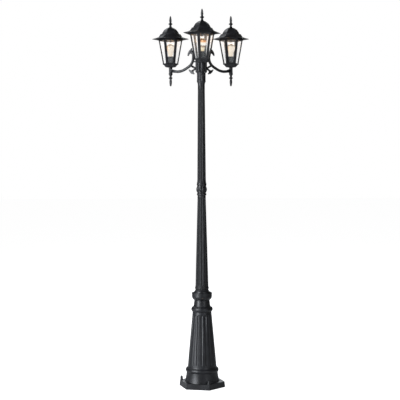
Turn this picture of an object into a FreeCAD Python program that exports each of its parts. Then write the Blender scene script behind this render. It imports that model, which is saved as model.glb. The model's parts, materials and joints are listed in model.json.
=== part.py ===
"""Triple head lamp post: a fluted post with three hexagonal lanterns on scrolled arms.

Millimetres, +Z up. The origin is the centre of the base's underside, on the post's axis, and
the front arm points along -Y. Each piece is modelled in a frame of its own, with its foot at
height zero, and a placement then stands it on the piece below.
"""
import FreeCAD, Part
import math
import os
import Sketcher
from FreeCAD import Placement, Rotation, Vector

SIZES = {
    # the stack of the post, from the ground up
    "base_height": 496.5,
    "socket_height": 101.5,
    "lower_height": 580.0,
    "coupling_height": 84.0,
    "upper_height": 594.0,
    "necking_height": 78.0,
    "capital_height": 80.0,
    "spigot_depth": 28.0,
    "spigot_fit": 0.05,
    "spigot_relief": 2.0,
    "overcut": 10.0,
    # base casting
    "base_turn": -13.5,
    "flange_radius": 144.8,
    "flange_height": 34.0,
    "flange_draft": 6.0,
    "cavity_radius": 112.0,
    "cavity_depth": 22.0,
    "base_wall": 8.0,
    "skirt_foot_radius": 107.0,
    "skirt_waist_radius": 99.8,
    "skirt_waist_height": 64.0,
    "skirt_top_radius": 96.5,
    "skirt_top_height": 92.0,
    "foot_bead_radius": 102.0,
    "foot_bead_height": 105.5,
    "foot_bead_top": 119.5,
    "foot_bead_top_radius": 90.8,
    "cone_foot_radius": 88.8,
    "cone_foot_height": 126.0,
    "cone_top_radius": 58.4,
    "cone_top_height": 462.0,
    "head_bead_radius": 66.5,
    "head_bead_height": 480.5,
    "head_bead_step": 3.0,
    "head_bead_drop": 1.5,
    "head_bead_lip": 2.0,
    "cone_flutes": 18,
    "cone_flute_start": 134.0,
    "cone_flute_end": 451.0,
    "cone_flute_foot_bore": 14.0,
    "cone_flute_head_bore": 9.5,
    "cone_flute_depth": 4.2,
    "cone_flute_head_depth": 2.73,
    "bridge_seat_radius": 84.0,
    "bridge_ledge": 7.0,
    "cone_foot_relief": 3.0,
    "bridge_level": 118.0,
    "base_bore": 44.0,
    # anchors at every other corner of the flange
    "anchor_circle": 131.0,
    "anchor_hole": 4.5,
    "anchor_count": 3,
    "washer_radius": 8.2,
    "washer_height": 2.0,
    "anchor_nut_radius": 7.5,
    "anchor_nut_height": 9.0,
    "anchor_dome_radius": 6.2,
    "anchor_dome_height": 15.0,
    "anchor_dome_side": 6.75,
    "anchor_crown_radius": 3.72,
    "anchor_crown_height": 12.75,
    "anchor_thread": 3.6,
    "anchor_thread_rise": 5.25,
    # bridge, tie rod and its nuts
    "bridge_width": 50.0,
    "bridge_height": 8.0,
    "bridge_end_gap": 4.0,
    "rod_radius": 4.0,
    "rod_fit": 0.05,
    "rod_overhang": 6.0,
    "rod_nut_radius": 7.5,
    "rod_nut_height": 6.5,
    "rod_cap_radius": 6.0,
    "rod_crown_radius": 4.125,
    "rod_crown_rise": 2.0,
    "rod_end_gap": 0.3,
    # socket with its upturned cup
    "socket_foot_radius": 52.5,
    "socket_step_foot": 5.0,
    "socket_step_top": 11.0,
    "socket_step": 2.0,
    "socket_neck_radius": 47.3,
    "socket_neck_top": 40.0,
    "cup_radius": 61.8,
    "cup_foot": 62.0,
    "cup_sweep_out": 0.62,
    "cup_sweep_up": 0.36,
    "cup_top": 80.0,
    "cup_lip_radius": 56.8,
    "cup_lip_height": 88.0,
    "cup_lip_round": 0.9,
    "cup_lip_round_up": 0.75,
    "cup_lip_width": 2.0,
    "cup_lip_inset": 1.5,
    "cup_lip_drop": 1.0,
    "cup_recess_radius": 51.5,
    "cup_recess_height": 81.0,
    "socket_dome_radius": 48.5,
    "socket_dome_round": 1.8,
    "socket_dome_up": 0.62,
    "socket_top_radius": 40.6,
    "socket_bore": 33.0,
    # lower column
    "column_flutes": 12,
    "lower_foot_radius": 40.4,
    "lower_bead_radius": 42.9,
    "lower_bead_height": 14.0,
    "lower_bead_rise": 8.0,
    "lower_shaft_radius": 40.1,
    "lower_shaft_foot": 22.0,
    "lower_top_radius": 25.4,
    "lower_bore_foot": 28.5,
    "lower_flute_start": 28.0,
    "lower_flute_margin": 8.0,
    "lower_flute_foot_bore": 8.6,
    "lower_flute_head_bore": 5.6,
    "lower_flute_foot_depth": 3.4,
    "lower_flute_head_depth": 2.5,
    "column_bore": 19.0,
    "column_bore_step": 0.5,
    "column_bore_taper": 2.0,
    # coupling between the columns
    "coupling_wall": 3.2,
    "coupling_foot_radius": 25.0,
    "coupling_foot_height": 3.0,
    "coupling_ring_radius": 29.3,
    "coupling_ring_height": 11.0,
    "coupling_waist_radius": 26.2,
    "coupling_neck_radius": 27.8,
    "coupling_ring_span": 19.0,
    "coupling_core_radius": 28.2,
    "coupling_head_ring_radius": 29.8,
    "coupling_head_ring_rise": 10.0,
    "coupling_head_edge": 1.0,
    "coupling_head_radius": 27.4,
    "petals": 10,
    "petal_axis": 24.4,
    "petal_radius": 8.4,
    "petal_inset": 1.0,
    # upper column
    "upper_foot_radius": 28.4,
    "upper_foot_height": 9.0,
    "upper_shaft_radius": 26.6,
    "upper_top_radius": 21.5,
    "upper_flute_start": 12.0,
    "upper_flute_margin": 22.0,
    "upper_flute_foot_bore": 5.8,
    "upper_flute_head_bore": 4.7,
    "upper_flute_foot_depth": 2.6,
    "upper_flute_head_depth": 2.1,
    "upper_bore_head": 17.4,
    "upper_bore_taper": 4.0,
    # necking
    "necking_bore": 16.0,
    "necking_wall": 2.2,
    "necking_flare_radius": 24.6,
    "necking_flare_height": 20.0,
    "necking_flare_out": 0.3,
    "necking_flare_up": 0.6,
    "necking_ring_radius": 27.6,
    "necking_ring_height": 28.0,
    "necking_neck_radius": 26.8,
    "necking_step": 1.0,
    "necking_relief": 1.0,
    "neck_flute_start": 38.0,
    "neck_flute_bore": 5.0,
    "neck_flute_depth": 1.3,
    "neck_flute_margin": 2.0,
    # capital and its lid
    "capital_spigot": 20.0,
    "capital_core_radius": 29.6,
    "capital_round": 1.2,
    "capital_round_height": 0.6,
    "capital_round_top": 1.5,
    "capital_lobes": 12,
    "lobe_axis": 27.4,
    "lobe_radius": 8.2,
    "lobe_foot": 0.5,
    "band_height": 14.0,
    "junction_bore": 24.0,
    "junction_floor": 14.0,
    "cable_bore": 14.2,
    "lid_radius": 34.6,
    "lid_edge": 3.0,
    "lid_height": 11.0,
    "lid_boss_radius": 12.0,
    "lid_sweep_out": 0.45,
    "lid_sweep_up": 0.4,
    # wiring inside the post
    "cable_radius": 3.2,
    "cable_offset": 9.6,
    "cable_clearance": 0.3,
    "splice_radius": 18.0,
    "splice_bore": 6.0,
    "splice_height": 18.0,
    "lead_radius": 1.5,
    "lead_bore": 2.6,
    "lead_rise": 12.0,
    "lead_bend": 6.0,
    "lead_tab_bend": 4.0,
    "lead_heel_bend": 30.0,
    "lead_short_cut": 0.145,
    "block_length": 34.0,
    "block_width": 16.0,
    "block_height": 18.0,
    "block_slot_length": 22.66667,
    "block_slot_foot": 5.4,
    "block_slot_head": 9.9,
    "block_slot_depth": 6.4,
    # arms
    "arm_reach": 217.0,
    "arm_level": 21.0,
    "arm_dip_reach": 143.0,
    "arm_dip_level": 12.3,
    "arm_dip_bend": 110.0,
    "arm_heel_reach": 56.0,
    "arm_heel_level": 59.5,
    "arm_heel_bend": 68.0,
    "arm_crook_reach": 57.0,
    "arm_crook_level": 129.0,
    "arm_crook_bend": 17.0,
    "arm_end_reach": 76.0,
    "arm_root_radius": 7.8,
    "arm_end_radius": 5.6,
    "tab_level": 71.0,
    "tab_radius": 4.2,
    "tab_depth": 16.0,
    "tab_fit": 0.05,
    "tab_overlap": 1.0,
    "tab_nut_radius": 6.3,
    "tab_nut_height": 3.0,
    "tab_nut_gap": 1.0,
    "scroll_radius": 4.7,
    "scroll_start_out": 24.0,
    "scroll_start_drop": 9.0,
    "scroll_shoulder_out": 4.0,
    "scroll_shoulder_drop": 19.0,
    "scroll_shoulder_bend": 20.0,
    "scroll_turn_out": 1.23,
    "scroll_turn_drop": 30.0,
    "scroll_turn_bend": 8.5,
    "scroll_end_out": 6.0,
    "scroll_end_drop": 46.0,
    "ornament_thickness": 8.0,
    # boss at the arm's end, which carries the lantern
    "boss_radius": 10.8,
    "boss_foot": 1.5,
    "boss_top": 43.5,
    "boss_bead_radius": 12.4,
    "boss_bead_height": 5.0,
    "boss_bead_edge": 1.2,
    "boss_foot_step": 0.4,
    "boss_lip": 1.2,
    "boss_lip_height": 2.0,
    "boss_lip_slope": 1.0,
    "boss_roof": 10.0,
    "chamber_radius": 8.0,
    "chamber_fit": 0.05,
    "web_length": 28.0,
    "web_drop": 14.0,
    "web_tail_drop": 3.0,
    "web_top_length": 18.0,
    "web_top_rise": 5.0,
    "web_rise": 12.0,
    "web_overlap": 2.0,
    # finial under the boss
    "drop_length": 76.0,
    "drop_knop_radius": 11.4,
    "drop_knop_depth": 25.0,
    "drop_tip_radius": 4.6,
    "drop_tip_rise": 5.0,
    "drop_point_radius": 3.3,
    "drop_point_rise": 1.2,
    "drop_belly_radius": 7.0,
    "drop_belly_up": 0.6,
    "drop_waist_radius": 5.2,
    "drop_waist_gap": 8.0,
    "drop_step_radius": 6.5,
    "drop_step_gap": 5.0,
    "drop_neck_radius": 4.8,
    "drop_cup_radius": 6.2,
    "drop_cup_gap": 15.0,
    "drop_rim_inset": 1.0,
    "drop_rim_foot": 5.0,
    "drop_rim_edge": 3.0,
    "drop_plug_height": 7.0,
    # lantern: stem
    "running_gap": 0.3,
    "stem_radius": 5.0,
    "stem_fit": 0.06,
    "stem_bore": 3.4,
    "stem_top": 9.0,
    "stem_nut_radius": 7.4,
    "stem_nut_height": 4.0,
    "stem_nut_fit": 0.02,
    "stem_end": 1.5,
    "lock_nut_radius": 8.4,
    # lantern: pan and cage
    "front_turn": 10.5,
    "pan_foot_radius": 30.5,
    "pan_radius": 47.5,
    "pan_height": 19.5,
    "pan_floor": 3.0,
    "pan_band_radius": 49.2,
    "pan_band_height": 5.0,
    "pan_band_rise": 2.0,
    "cage_radius": 75.0,
    "cage_height": 173.3,
    "cage_wall": 3.5,
    "cage_rail_radius": 76.8,
    "cage_rail_height": 8.0,
    "window_foot": 22.5,
    "window_head": 163.0,
    "bar_width": 10.5,
    "glass_thickness": 2.4,
    "glass_gap": 0.35,
    "glass_joint": 2.4,
    "glass_end_gap": 1.5,
    # lantern: lamp holder
    "holder_radius": 20.4,
    "holder_height": 62.0,
    "holder_rim_radius": 22.0,
    "holder_rim_height": 5.0,
    "holder_rim_edge": 1.0,
    "holder_ribs": 24,
    "holder_rib_width": 2.4,
    "holder_rib_crest": 1.44,
    "holder_rib_root": 1.0,
    "holder_rib_inset": 0.3,
    "holder_rib_foot": 2.0,
    "holder_rib_overlap": 1.0,
    "holder_recess_radius": 9.6,
    "holder_recess_height": 7.0,
    "holder_wire_bore": 3.0,
    "holder_bore": 13.6,
    "holder_floor": 28.0,
    # lantern: lamp
    "lamp_cap_radius": 13.2,
    "lamp_cap_height": 30.0,
    "lamp_cap_wall": 0.5,
    "lamp_cap_rim": 0.2,
    "lamp_cap_rim_height": 3.0,
    "lamp_contact_radius": 4.2,
    "lamp_button_radius": 5.2,
    "lamp_button_rise": 1.0,
    "lamp_insulator_radius": 5.6,
    "lamp_insulator_rise": 2.4,
    "lamp_floor_rise": 1.0,
    "lamp_floor_dip": 2.0,
    "lamp_thread_rise": 6.0,
    "lamp_thread_pitch": 3.6,
    "lamp_thread_depth": 0.7,
    "lamp_thread_turns": 5,
    "lamp_neck_radius": 11.9,
    "lamp_neck_overlap": 6.0,
    "lamp_collar_rise": 4.0,
    "lamp_bend_out": 0.36,
    "lamp_bend_up": 0.5,
    "lamp_globe_radius": 27.5,
    "lamp_top": 144.6,
    "lamp_glass": 0.9,
    "filament_strands": 8,
    "filament_radius": 0.45,
    "filament_bead_radius": 0.459,
    "filament_twist": 11.45916,
    "filament_foot_radius": 3.0,
    "filament_waist_radius": 9.0,
    "filament_head_radius": 2.2,
    "filament_drop": 34.0,
    "filament_rise": 12.0,
    "filament_foot_rise": 2.0,
    "filament_head_rise": 1.4,
    "mount_fit": 0.02,
    "mount_edge": 1.5,
    "mount_flare_radius": 4.5,
    "mount_flare_rise": 8.0,
    "mount_radius": 3.4,
    "mount_rise": 6.0,
    "mount_waist_radius": 1.6,
    "mount_waist_rise": 16.0,
    "mount_tip_radius": 1.2,
    "mount_hub_radius": 3.0,
    "mount_hub_rise": 1.5,
    "mount_hub_top": 4.0,
    # lantern: roof
    "roof_wall": 2.0,
    "roof_inset": 1.4,
    "brim_edge": 2.8,
    "brim_radius": 112.0,
    "brim_level": 174.8,
    "sweep_radius": 88.0,
    "sweep_level": 180.1,
    "eave_radius": 73.5,
    "eave_level": 185.6,
    "step_radius": 66.5,
    "step_level": 194.6,
    "shelf_radius": 61.5,
    "shelf_level": 202.6,
    "dome_foot_radius": 52.5,
    "dome_foot_level": 205.1,
    "dome_waist_radius": 47.8,
    "dome_waist_level": 216.1,
    "dome_shoulder_radius": 37.5,
    "dome_shoulder_level": 230.1,
    "dome_crown_radius": 23.5,
    "dome_crown_level": 239.6,
    "apex_radius": 12.0,
    "apex_level": 245.1,
    "roof_skirt_radius": 73.0,
    "roof_skirt_wall": 4.0,
    "roof_skirt_top": 187.0,
    "roof_skirt_overcut": 1.0,
    # lantern: roof rod and top finial
    "roof_rod_radius": 3.0,
    "roof_rod_fit": 0.05,
    "roof_rod_hole": 10.0,
    "roof_rod_foot": 154.0,
    "roof_rod_knob_radius": 7.0,
    "roof_rod_knob_height": 7.5,
    "roof_rod_knob_round": 2.0,
    "roof_rod_flange_inset": 3.0,
    "roof_rod_flange_height": 3.0,
    "roof_rod_grip": 10.0,
    "roof_rod_end_gap": 0.5,
    "spire_length": 72.0,
    "spire_knop_radius": 12.0,
    "spire_knop_level": 22.0,
    "spire_foot_inset": 1.5,
    "spire_foot_radius": 8.4,
    "spire_foot_level": 3.6,
    "spire_neck_radius": 6.2,
    "spire_neck_level": 9.5,
    "spire_neck_gap": 7.0,
    "spire_step_radius": 8.0,
    "spire_step_gap": 5.0,
    "spire_waist_radius": 5.0,
    "spire_waist_gap": 8.0,
    "spire_swell_radius": 6.9,
    "spire_swell_gap": 20.0,
    "spire_taper_radius": 4.6,
    "spire_taper_gap": 36.0,
    "spire_point_radius": 3.3,
    "spire_point_gap": 6.0,
    "spire_tip_radius": 1.2,
    "spire_tip_gap": 0.6,
}

# corners of the arm's flat ornaments, out and up from the point each one grows from
ORNAMENTS = {
    "leaf": [
        (-15.0, -11.0),
        (-16.0, 3.0),
        (-12.0, 12.0),
        (-9.0, 24.0),
        (-4.0, 17.0),
        (3.0, 13.0),
        (10.0, 4.0),
        (15.5, -6.0),
        (17.0, -19.0),
        (12.0, -16.0),
        (7.0, -9.5),
        (0.0, -5.0),
        (-7.0, -5.0),
        (-11.0, -10.0),
    ],
    "fishtail": [
        (30.0, -37.0),
        (24.0, -41.0),
        (17.0, -43.0),
        (10.0, -43.5),
        (4.0, -41.0),
        (1.0, -46.0),
        (0.0, -55.0),
        (-6.5, -64.0),
        (0.0, -62.5),
        (8.0, -61.0),
        (15.0, -57.0),
        (22.0, -50.0),
    ],
}
for ornament, ornament_corners in ORNAMENTS.items():
    for index, (out, up) in enumerate(ornament_corners):
        SIZES[f"{ornament}_{index}_out"] = out
        SIZES[f"{ornament}_{index}_up"] = up

ARM_AZIMUTHS = {"front": 270.0, "right": 30.0, "left": 150.0}

document = FreeCAD.newDocument("triple_head_lamp_post")
sheet = document.addObject("Spreadsheet::Sheet", "Sheet")
for row, (alias, value) in enumerate(SIZES.items(), start=1):
    sheet.set(f"A{row}", alias)
    sheet.set(f"B{row}", str(value))
    sheet.setAlias(f"B{row}", alias)
document.recompute()

nodes = []


class Size:
    """A length, angle or count that knows its value and the sheet expression behind it."""

    def __init__(self, value, text):
        self.value = float(value)
        self.text = text

    def joined(self, sign, other, value):
        return Size(value, f"({self.text} {sign} {other.text})")

    def __add__(self, other):
        other = as_size(other)
        return self.joined("+", other, self.value + other.value)

    def __sub__(self, other):
        other = as_size(other)
        return self.joined("-", other, self.value - other.value)

    def __rsub__(self, other):
        return as_size(other) - self

    def __mul__(self, other):
        other = as_size(other)
        return self.joined("*", other, self.value * other.value)

    def __truediv__(self, other):
        other = as_size(other)
        return self.joined("/", other, self.value / other.value)

    def __neg__(self):
        return as_size(0) - self

    __radd__ = __add__
    __rmul__ = __mul__


def as_size(value):
    return value if isinstance(value, Size) else Size(value, repr(float(value)))


def size(alias):
    return Size(SIZES[alias], f"Sheet.{alias}")


def between(low, high, share):
    """The size that lies a share of the way from low to high."""
    return low + (high - low) * share


ZERO = Size(0, "0")
HEXAGON_SIDES = Size(6, "6")
# a quarter arc's middle lies this share of its radius along each side
QUARTER = math.sqrt(0.5)


# ---- sketches and features of a body ----


def new_body(label):
    body = document.addObject("PartDesign::Body", label)
    body.Label = label
    nodes.append(body)
    return body


def origin_feature(body, role):
    return next(item for item in body.Origin.OriginFeatures if item.Role == role)


def new_sketch(body, name, role, lift=None):
    """A sketch on one of the body's own planes, lifted off it by a size."""
    sketch = body.newObject("Sketcher::SketchObject", name)
    sketch.AttachmentSupport = (origin_feature(body, role), [""])
    sketch.MapMode = "FlatFace"
    if lift is not None:
        sketch.setExpression("AttachmentOffset.Base.z", lift.text)
    return sketch


def pin(sketch, geometry, end, point):
    """Ties one end of a line, arc or mark to a named place, measured from the sketch's origin."""
    for coordinate, kind, axis in zip(point, ("DistanceX", "DistanceY"), (-2, -1)):
        if coordinate is ZERO:
            sketch.addConstraint(Sketcher.Constraint("PointOnObject", geometry, end, axis))
        else:
            rule = Sketcher.Constraint(kind, -1, 1, geometry, end, coordinate.value)
            index = sketch.addConstraint(rule)
            sketch.setExpression(f"Constraints[{index}]", coordinate.text)


def vector(point):
    return Vector(point[0].value, point[1].value, 0)


def arc_through(first, middle, last):
    """An anticlockwise arc whose angles are counted from the sketch's X axis."""
    centre = Part.Arc(first, middle, last).toShape().Curve.Center
    start = math.atan2(first.y - centre.y, first.x - centre.x)
    end = math.atan2(last.y - centre.y, last.x - centre.x)
    if end < start:
        end += 2 * math.pi
    ring = Part.Circle(centre, Vector(0, 0, 1), centre.distanceToPoint(first))
    return Part.ArcOfCircle(ring, start, end)


def outline(body, name, role, path, lift=None):
    """A closed outline: a step (x, y) draws a line to it, and (middle, end) an arc to its end."""
    sketch = new_sketch(body, name, role, lift)
    path = [tuple(step) for step in path]
    ends = [step[1] if isinstance(step[0], tuple) else step for step in path]
    starts = [ends[-1]] + ends[:-1]
    heads = []
    for step, start, end in zip(path, starts, ends):
        if isinstance(step[0], tuple):
            first, middle, last = vector(start), vector(step[0]), vector(end)
            turned_back = (middle - first).cross(last - middle).z < 0
            if turned_back:
                first, last = last, first
            index = sketch.addGeometry(arc_through(first, middle, last), False)
            mark = sketch.addGeometry(Part.Point(middle), True)
            sketch.addConstraint(Sketcher.Constraint("PointOnObject", mark, 1, index))
            pin(sketch, mark, 1, step[0])
        else:
            index = sketch.addGeometry(Part.LineSegment(vector(start), vector(end)), False)
            turned_back = False
        heads.append((index, 2, 1) if turned_back else (index, 1, 2))
    for (index, _, tail), (following, head, _), end in zip(heads, heads[1:] + heads[:1], ends):
        sketch.addConstraint(Sketcher.Constraint("Coincident", index, tail, following, head))
        pin(sketch, index, tail, end)
    return sketch


def circle(body, name, role, centre, radius, lift=None):
    sketch = new_sketch(body, name, role, lift)
    index = sketch.addGeometry(Part.Circle(vector(centre), Vector(0, 0, 1), radius.value), False)
    pin(sketch, index, 3, centre)
    rule = sketch.addConstraint(Sketcher.Constraint("Radius", index, radius.value))
    sketch.setExpression(f"Constraints[{rule}]", radius.text)
    return sketch


def hexagon_points(radius):
    """Corners at 0, 60 ... 300 degrees, so that two flats face along Y."""
    half = radius / 2
    height = radius * math.cos(math.pi / 6)
    upper = [(radius, ZERO), (half, height), (-half, height)]
    lower = [(-radius, ZERO), (-half, -height), (half, -height)]
    return upper + lower


def hexagon(body, name, radius, lift=None):
    return outline(body, name, "XY_Plane", hexagon_points(radius), lift)


def turned(body, name, path, cut=False, axis="V_Axis"):
    """Turns an upright half outline round an axis, to add it to the body or cut it away."""
    profile = outline(body, name + "_profile", "XZ_Plane", path)
    feature = body.newObject("PartDesign::Groove" if cut else "PartDesign::Revolution", name)
    feature.Profile = profile
    feature.ReferenceAxis = (profile, [axis])
    feature.Angle = 360
    return feature


def raised(body, name, profile, height, cut=False, flip=False, midplane=False):
    feature = body.newObject("PartDesign::Pocket" if cut else "PartDesign::Pad", name)
    feature.Profile = profile
    feature.setExpression("Length", height.text)
    feature.Reversed = flip
    feature.Midplane = midplane
    return feature


def lofted(body, name, sections, cut=False):
    kind = "PartDesign::SubtractiveLoft" if cut else "PartDesign::AdditiveLoft"
    feature = body.newObject(kind, name)
    feature.Profile = sections[0]
    feature.Sections = sections[1:]
    feature.Ruled = True
    return feature


def repeated(body, name, features, count):
    """Repeats features evenly round the body's upright axis."""
    pattern = body.newObject("PartDesign::PolarPattern", name)
    pattern.Originals = features
    pattern.Axis = (origin_feature(body, "Z_Axis"), [""])
    pattern.Angle = 360
    pattern.setExpression("Occurrences", count.text)
    body.Tip = pattern
    return pattern


def bar_path(foot, head, foot_bore, head_bore):
    """Half outline of a round-ended tapered bar, whose first edge runs along its own axis.

    foot and head are the bar's two tips, and the bar bulges towards the body's axis.
    """
    shoulder = (foot[0] - foot_bore, foot[1] + foot_bore)
    neck = (head[0] - head_bore, head[1] - head_bore)
    foot_middle = (foot[0] - foot_bore * QUARTER, foot[1] + foot_bore * (1 - QUARTER))
    head_middle = (head[0] - head_bore * QUARTER, head[1] - head_bore * (1 - QUARTER))
    return [foot, (foot_middle, shoulder), neck, (head_middle, head)]


def fluted(body, name, foot, head, bores, depths, count):
    """Cuts round-ended flutes from foot to head, places on the shaft's face."""
    foot_axis = (foot[0] + bores[0] - depths[0], foot[1])
    head_axis = (head[0] + bores[1] - depths[1], head[1])
    path = bar_path(foot_axis, head_axis, bores[0], bores[1])
    flute = turned(body, name, path, cut=True, axis="Edge1")
    return repeated(body, name + "s", [flute], count)


# ---- placements ----


def stand(node, height, azimuth=None, reach=None, turn=None):
    """Stands a piece at a height, out along an azimuth, turned about its own upright axis."""
    node.setExpression("Placement.Base.z", height.text)
    if reach is not None:
        node.setExpression("Placement.Base.x", f"{reach.text} * cos({azimuth})")
        node.setExpression("Placement.Base.y", f"{reach.text} * sin({azimuth})")
    if turn is not None:
        node.Placement.Rotation = Rotation(Vector(0, 0, 1), turn.value)
        node.setExpression("Placement.Rotation.Angle", turn.text)


def feature_from(label, shape):
    """A piece whose shape comes from plain solids."""
    node = document.addObject("Part::Feature", label)
    node.Label = label
    node.Shape = shape
    nodes.append(node)
    return node


# ---- heights at which the pieces stand ----

SOCKET_FOOT = size("base_height")
LOWER_FOOT = SOCKET_FOOT + size("socket_height")
COUPLING_FOOT = LOWER_FOOT + size("lower_height")
UPPER_FOOT = COUPLING_FOOT + size("coupling_height")
NECKING_FOOT = UPPER_FOOT + size("upper_height")
CAPITAL_FOOT = NECKING_FOOT + size("necking_height")
CAPITAL_TOP = CAPITAL_FOOT + size("capital_height")
LANTERN_FOOT = CAPITAL_FOOT + size("boss_top") + size("running_gap")


def base_casting():
    """Hexagonal flange, skirt and fluted cone, cast in one and hollow underneath."""
    body = new_body("base_casting")
    wall = size("base_wall")
    foot, top = size("skirt_foot_radius"), size("base_height")
    flange = raised(
        body, "flange", hexagon(body, "flange_outline", size("flange_radius")), size("flange_height")
    )
    flange.setExpression("TaperAngle", (-size("flange_draft")).text)
    skirt_middle = (size("skirt_waist_radius"), size("skirt_waist_height"))
    skirt_top = (size("skirt_top_radius"), size("skirt_top_height"))
    bead_middle = (size("foot_bead_radius"), size("foot_bead_height"))
    bead_top = (size("foot_bead_top_radius"), size("foot_bead_top"))
    cone_foot = (size("cone_foot_radius"), size("cone_foot_height"))
    cone_top = (size("cone_top_radius"), size("cone_top_height"))
    head_bead = (size("head_bead_radius"), size("head_bead_height"))
    turned(
        body,
        "cone",
        [
            (ZERO, ZERO),
            (foot, ZERO),
            (foot, size("flange_height")),
            (skirt_middle, skirt_top),
            (bead_middle, bead_top),
            cone_foot,
            cone_top,
            (cone_top[0], cone_top[1] + size("head_bead_step")),
            (head_bead, (cone_top[0], top - size("head_bead_drop"))),
            (cone_top[0] - size("head_bead_lip"), top),
            (ZERO, top),
        ],
    )
    fluted(
        body,
        "cone_flute",
        (cone_foot[0], size("cone_flute_start")),
        (cone_top[0], size("cone_flute_end")),
        (size("cone_flute_foot_bore"), size("cone_flute_head_bore")),
        (size("cone_flute_depth"), size("cone_flute_head_depth")),
        size("cone_flutes"),
    )
    ledge = size("bridge_seat_radius")
    spigot_foot = top - size("spigot_depth")
    turned(
        body,
        "cavity",
        [
            (ZERO, ZERO),
            (size("cavity_radius"), ZERO),
            (size("cavity_radius"), size("cavity_depth")),
            (foot - wall, size("flange_height")),
            (ledge, size("skirt_top_height") - wall),
            (ledge, size("bridge_level")),
            (ledge - size("bridge_ledge"), size("bridge_level")),
            (cone_foot[0] - wall - size("cone_foot_relief"), cone_foot[1] + wall),
            (cone_top[0] - wall, cone_top[1] - wall),
            (size("base_bore"), spigot_foot),
            (size("base_bore"), top),
            (ZERO, top),
        ],
        cut=True,
    )
    centre = (-size("anchor_circle"), ZERO)
    hole = circle(body, "anchor_outline", "XY_Plane", centre, size("anchor_hole"))
    depth = size("flange_height") + size("overcut")
    bolt_hole = raised(body, "anchor_hole", hole, depth, cut=True, flip=True)
    repeated(body, "anchor_holes", [bolt_hole], size("anchor_count"))
    stand(body, ZERO, turn=size("base_turn"))


def spread_round_anchors(label, build):
    """One node of loose solids, one at each anchor, standing on the flange."""
    reach = SIZES["anchor_circle"]
    count = SIZES["anchor_count"]
    shapes = []
    for index in range(count):
        angle = 180 + SIZES["base_turn"] + 360 / count * index
        one = build()
        one.Placement = Placement(Vector(0, 0, 0), Rotation(Vector(0, 0, 1), angle)).multiply(
            Placement(Vector(reach, 0, SIZES["flange_height"]), Rotation())
        ).multiply(one.Placement)
        shapes.append(one)
    feature_from(label, Part.makeCompound(shapes))


def spun(points):
    """A solid turned round Z from an upright half outline of plain numbers."""
    corners = [Vector(x, 0, z) for x, z in points]
    face = Part.Face(Part.makePolygon(corners + corners[:1]))
    return face.revolve(Vector(0, 0, 0), Vector(0, 0, 1), 360)


def washer():
    disc = Part.makeCylinder(SIZES["washer_radius"], SIZES["washer_height"])
    return disc.cut(Part.makeCylinder(SIZES["anchor_hole"], SIZES["washer_height"]))


def hexagonal_ring(radius, level=0):
    """A closed hexagonal wire at a level, with its first corner on the X axis."""
    sides = int(HEXAGON_SIDES.value)
    angles = [2 * math.pi * index / sides for index in range(sides + 1)]
    corners = [Vector(radius * math.cos(a), radius * math.sin(a), level) for a in angles]
    return Part.makePolygon(corners)


def hexagonal_bar(radius, height):
    return Part.Face(hexagonal_ring(radius)).extrude(Vector(0, 0, height))


def cap_nut():
    """A hexagonal nut with a domed blind end, standing on its washer."""
    height = SIZES["anchor_nut_height"]
    dome = SIZES["anchor_dome_radius"]
    nut = hexagonal_bar(SIZES["anchor_nut_radius"], height)
    cap = spun(
        [
            (0, height),
            (dome, height),
            (dome, height + SIZES["anchor_dome_side"]),
            (SIZES["anchor_crown_radius"], height + SIZES["anchor_crown_height"]),
            (0, height + SIZES["anchor_dome_height"]),
        ]
    )
    bore = Part.makeCylinder(SIZES["anchor_thread"], height + SIZES["anchor_thread_rise"])
    whole = nut.fuse(cap).cut(bore)
    whole.translate(Vector(0, 0, SIZES["washer_height"]))
    return whole


def base_bridge():
    """Cross bar under the casting's ledge, which the tie rod pulls up against."""
    body = new_body("base_bridge")
    half_length = size("bridge_seat_radius") - size("bridge_end_gap")
    half_width = size("bridge_width") / 2
    corners = [
        (half_length, -half_width),
        (half_length, half_width),
        (-half_length, half_width),
        (-half_length, -half_width),
    ]
    bar = outline(body, "bar_outline", "XY_Plane", corners)
    raised(body, "bar", bar, size("bridge_height"))
    through = size("bridge_height") + size("overcut")
    rod = circle(body, "rod_outline", "XY_Plane", (ZERO, ZERO), size("rod_radius") + size("rod_fit"))
    raised(body, "rod_hole", rod, through, cut=True, flip=True)
    cable_bore = size("cable_radius") + size("cable_clearance")
    cable = circle(body, "cable_outline", "XY_Plane", (ZERO, size("cable_offset")), cable_bore)
    raised(body, "cable_hole", cable, through, cut=True, flip=True)
    stand(body, size("bridge_level") - size("bridge_height"))


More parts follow.
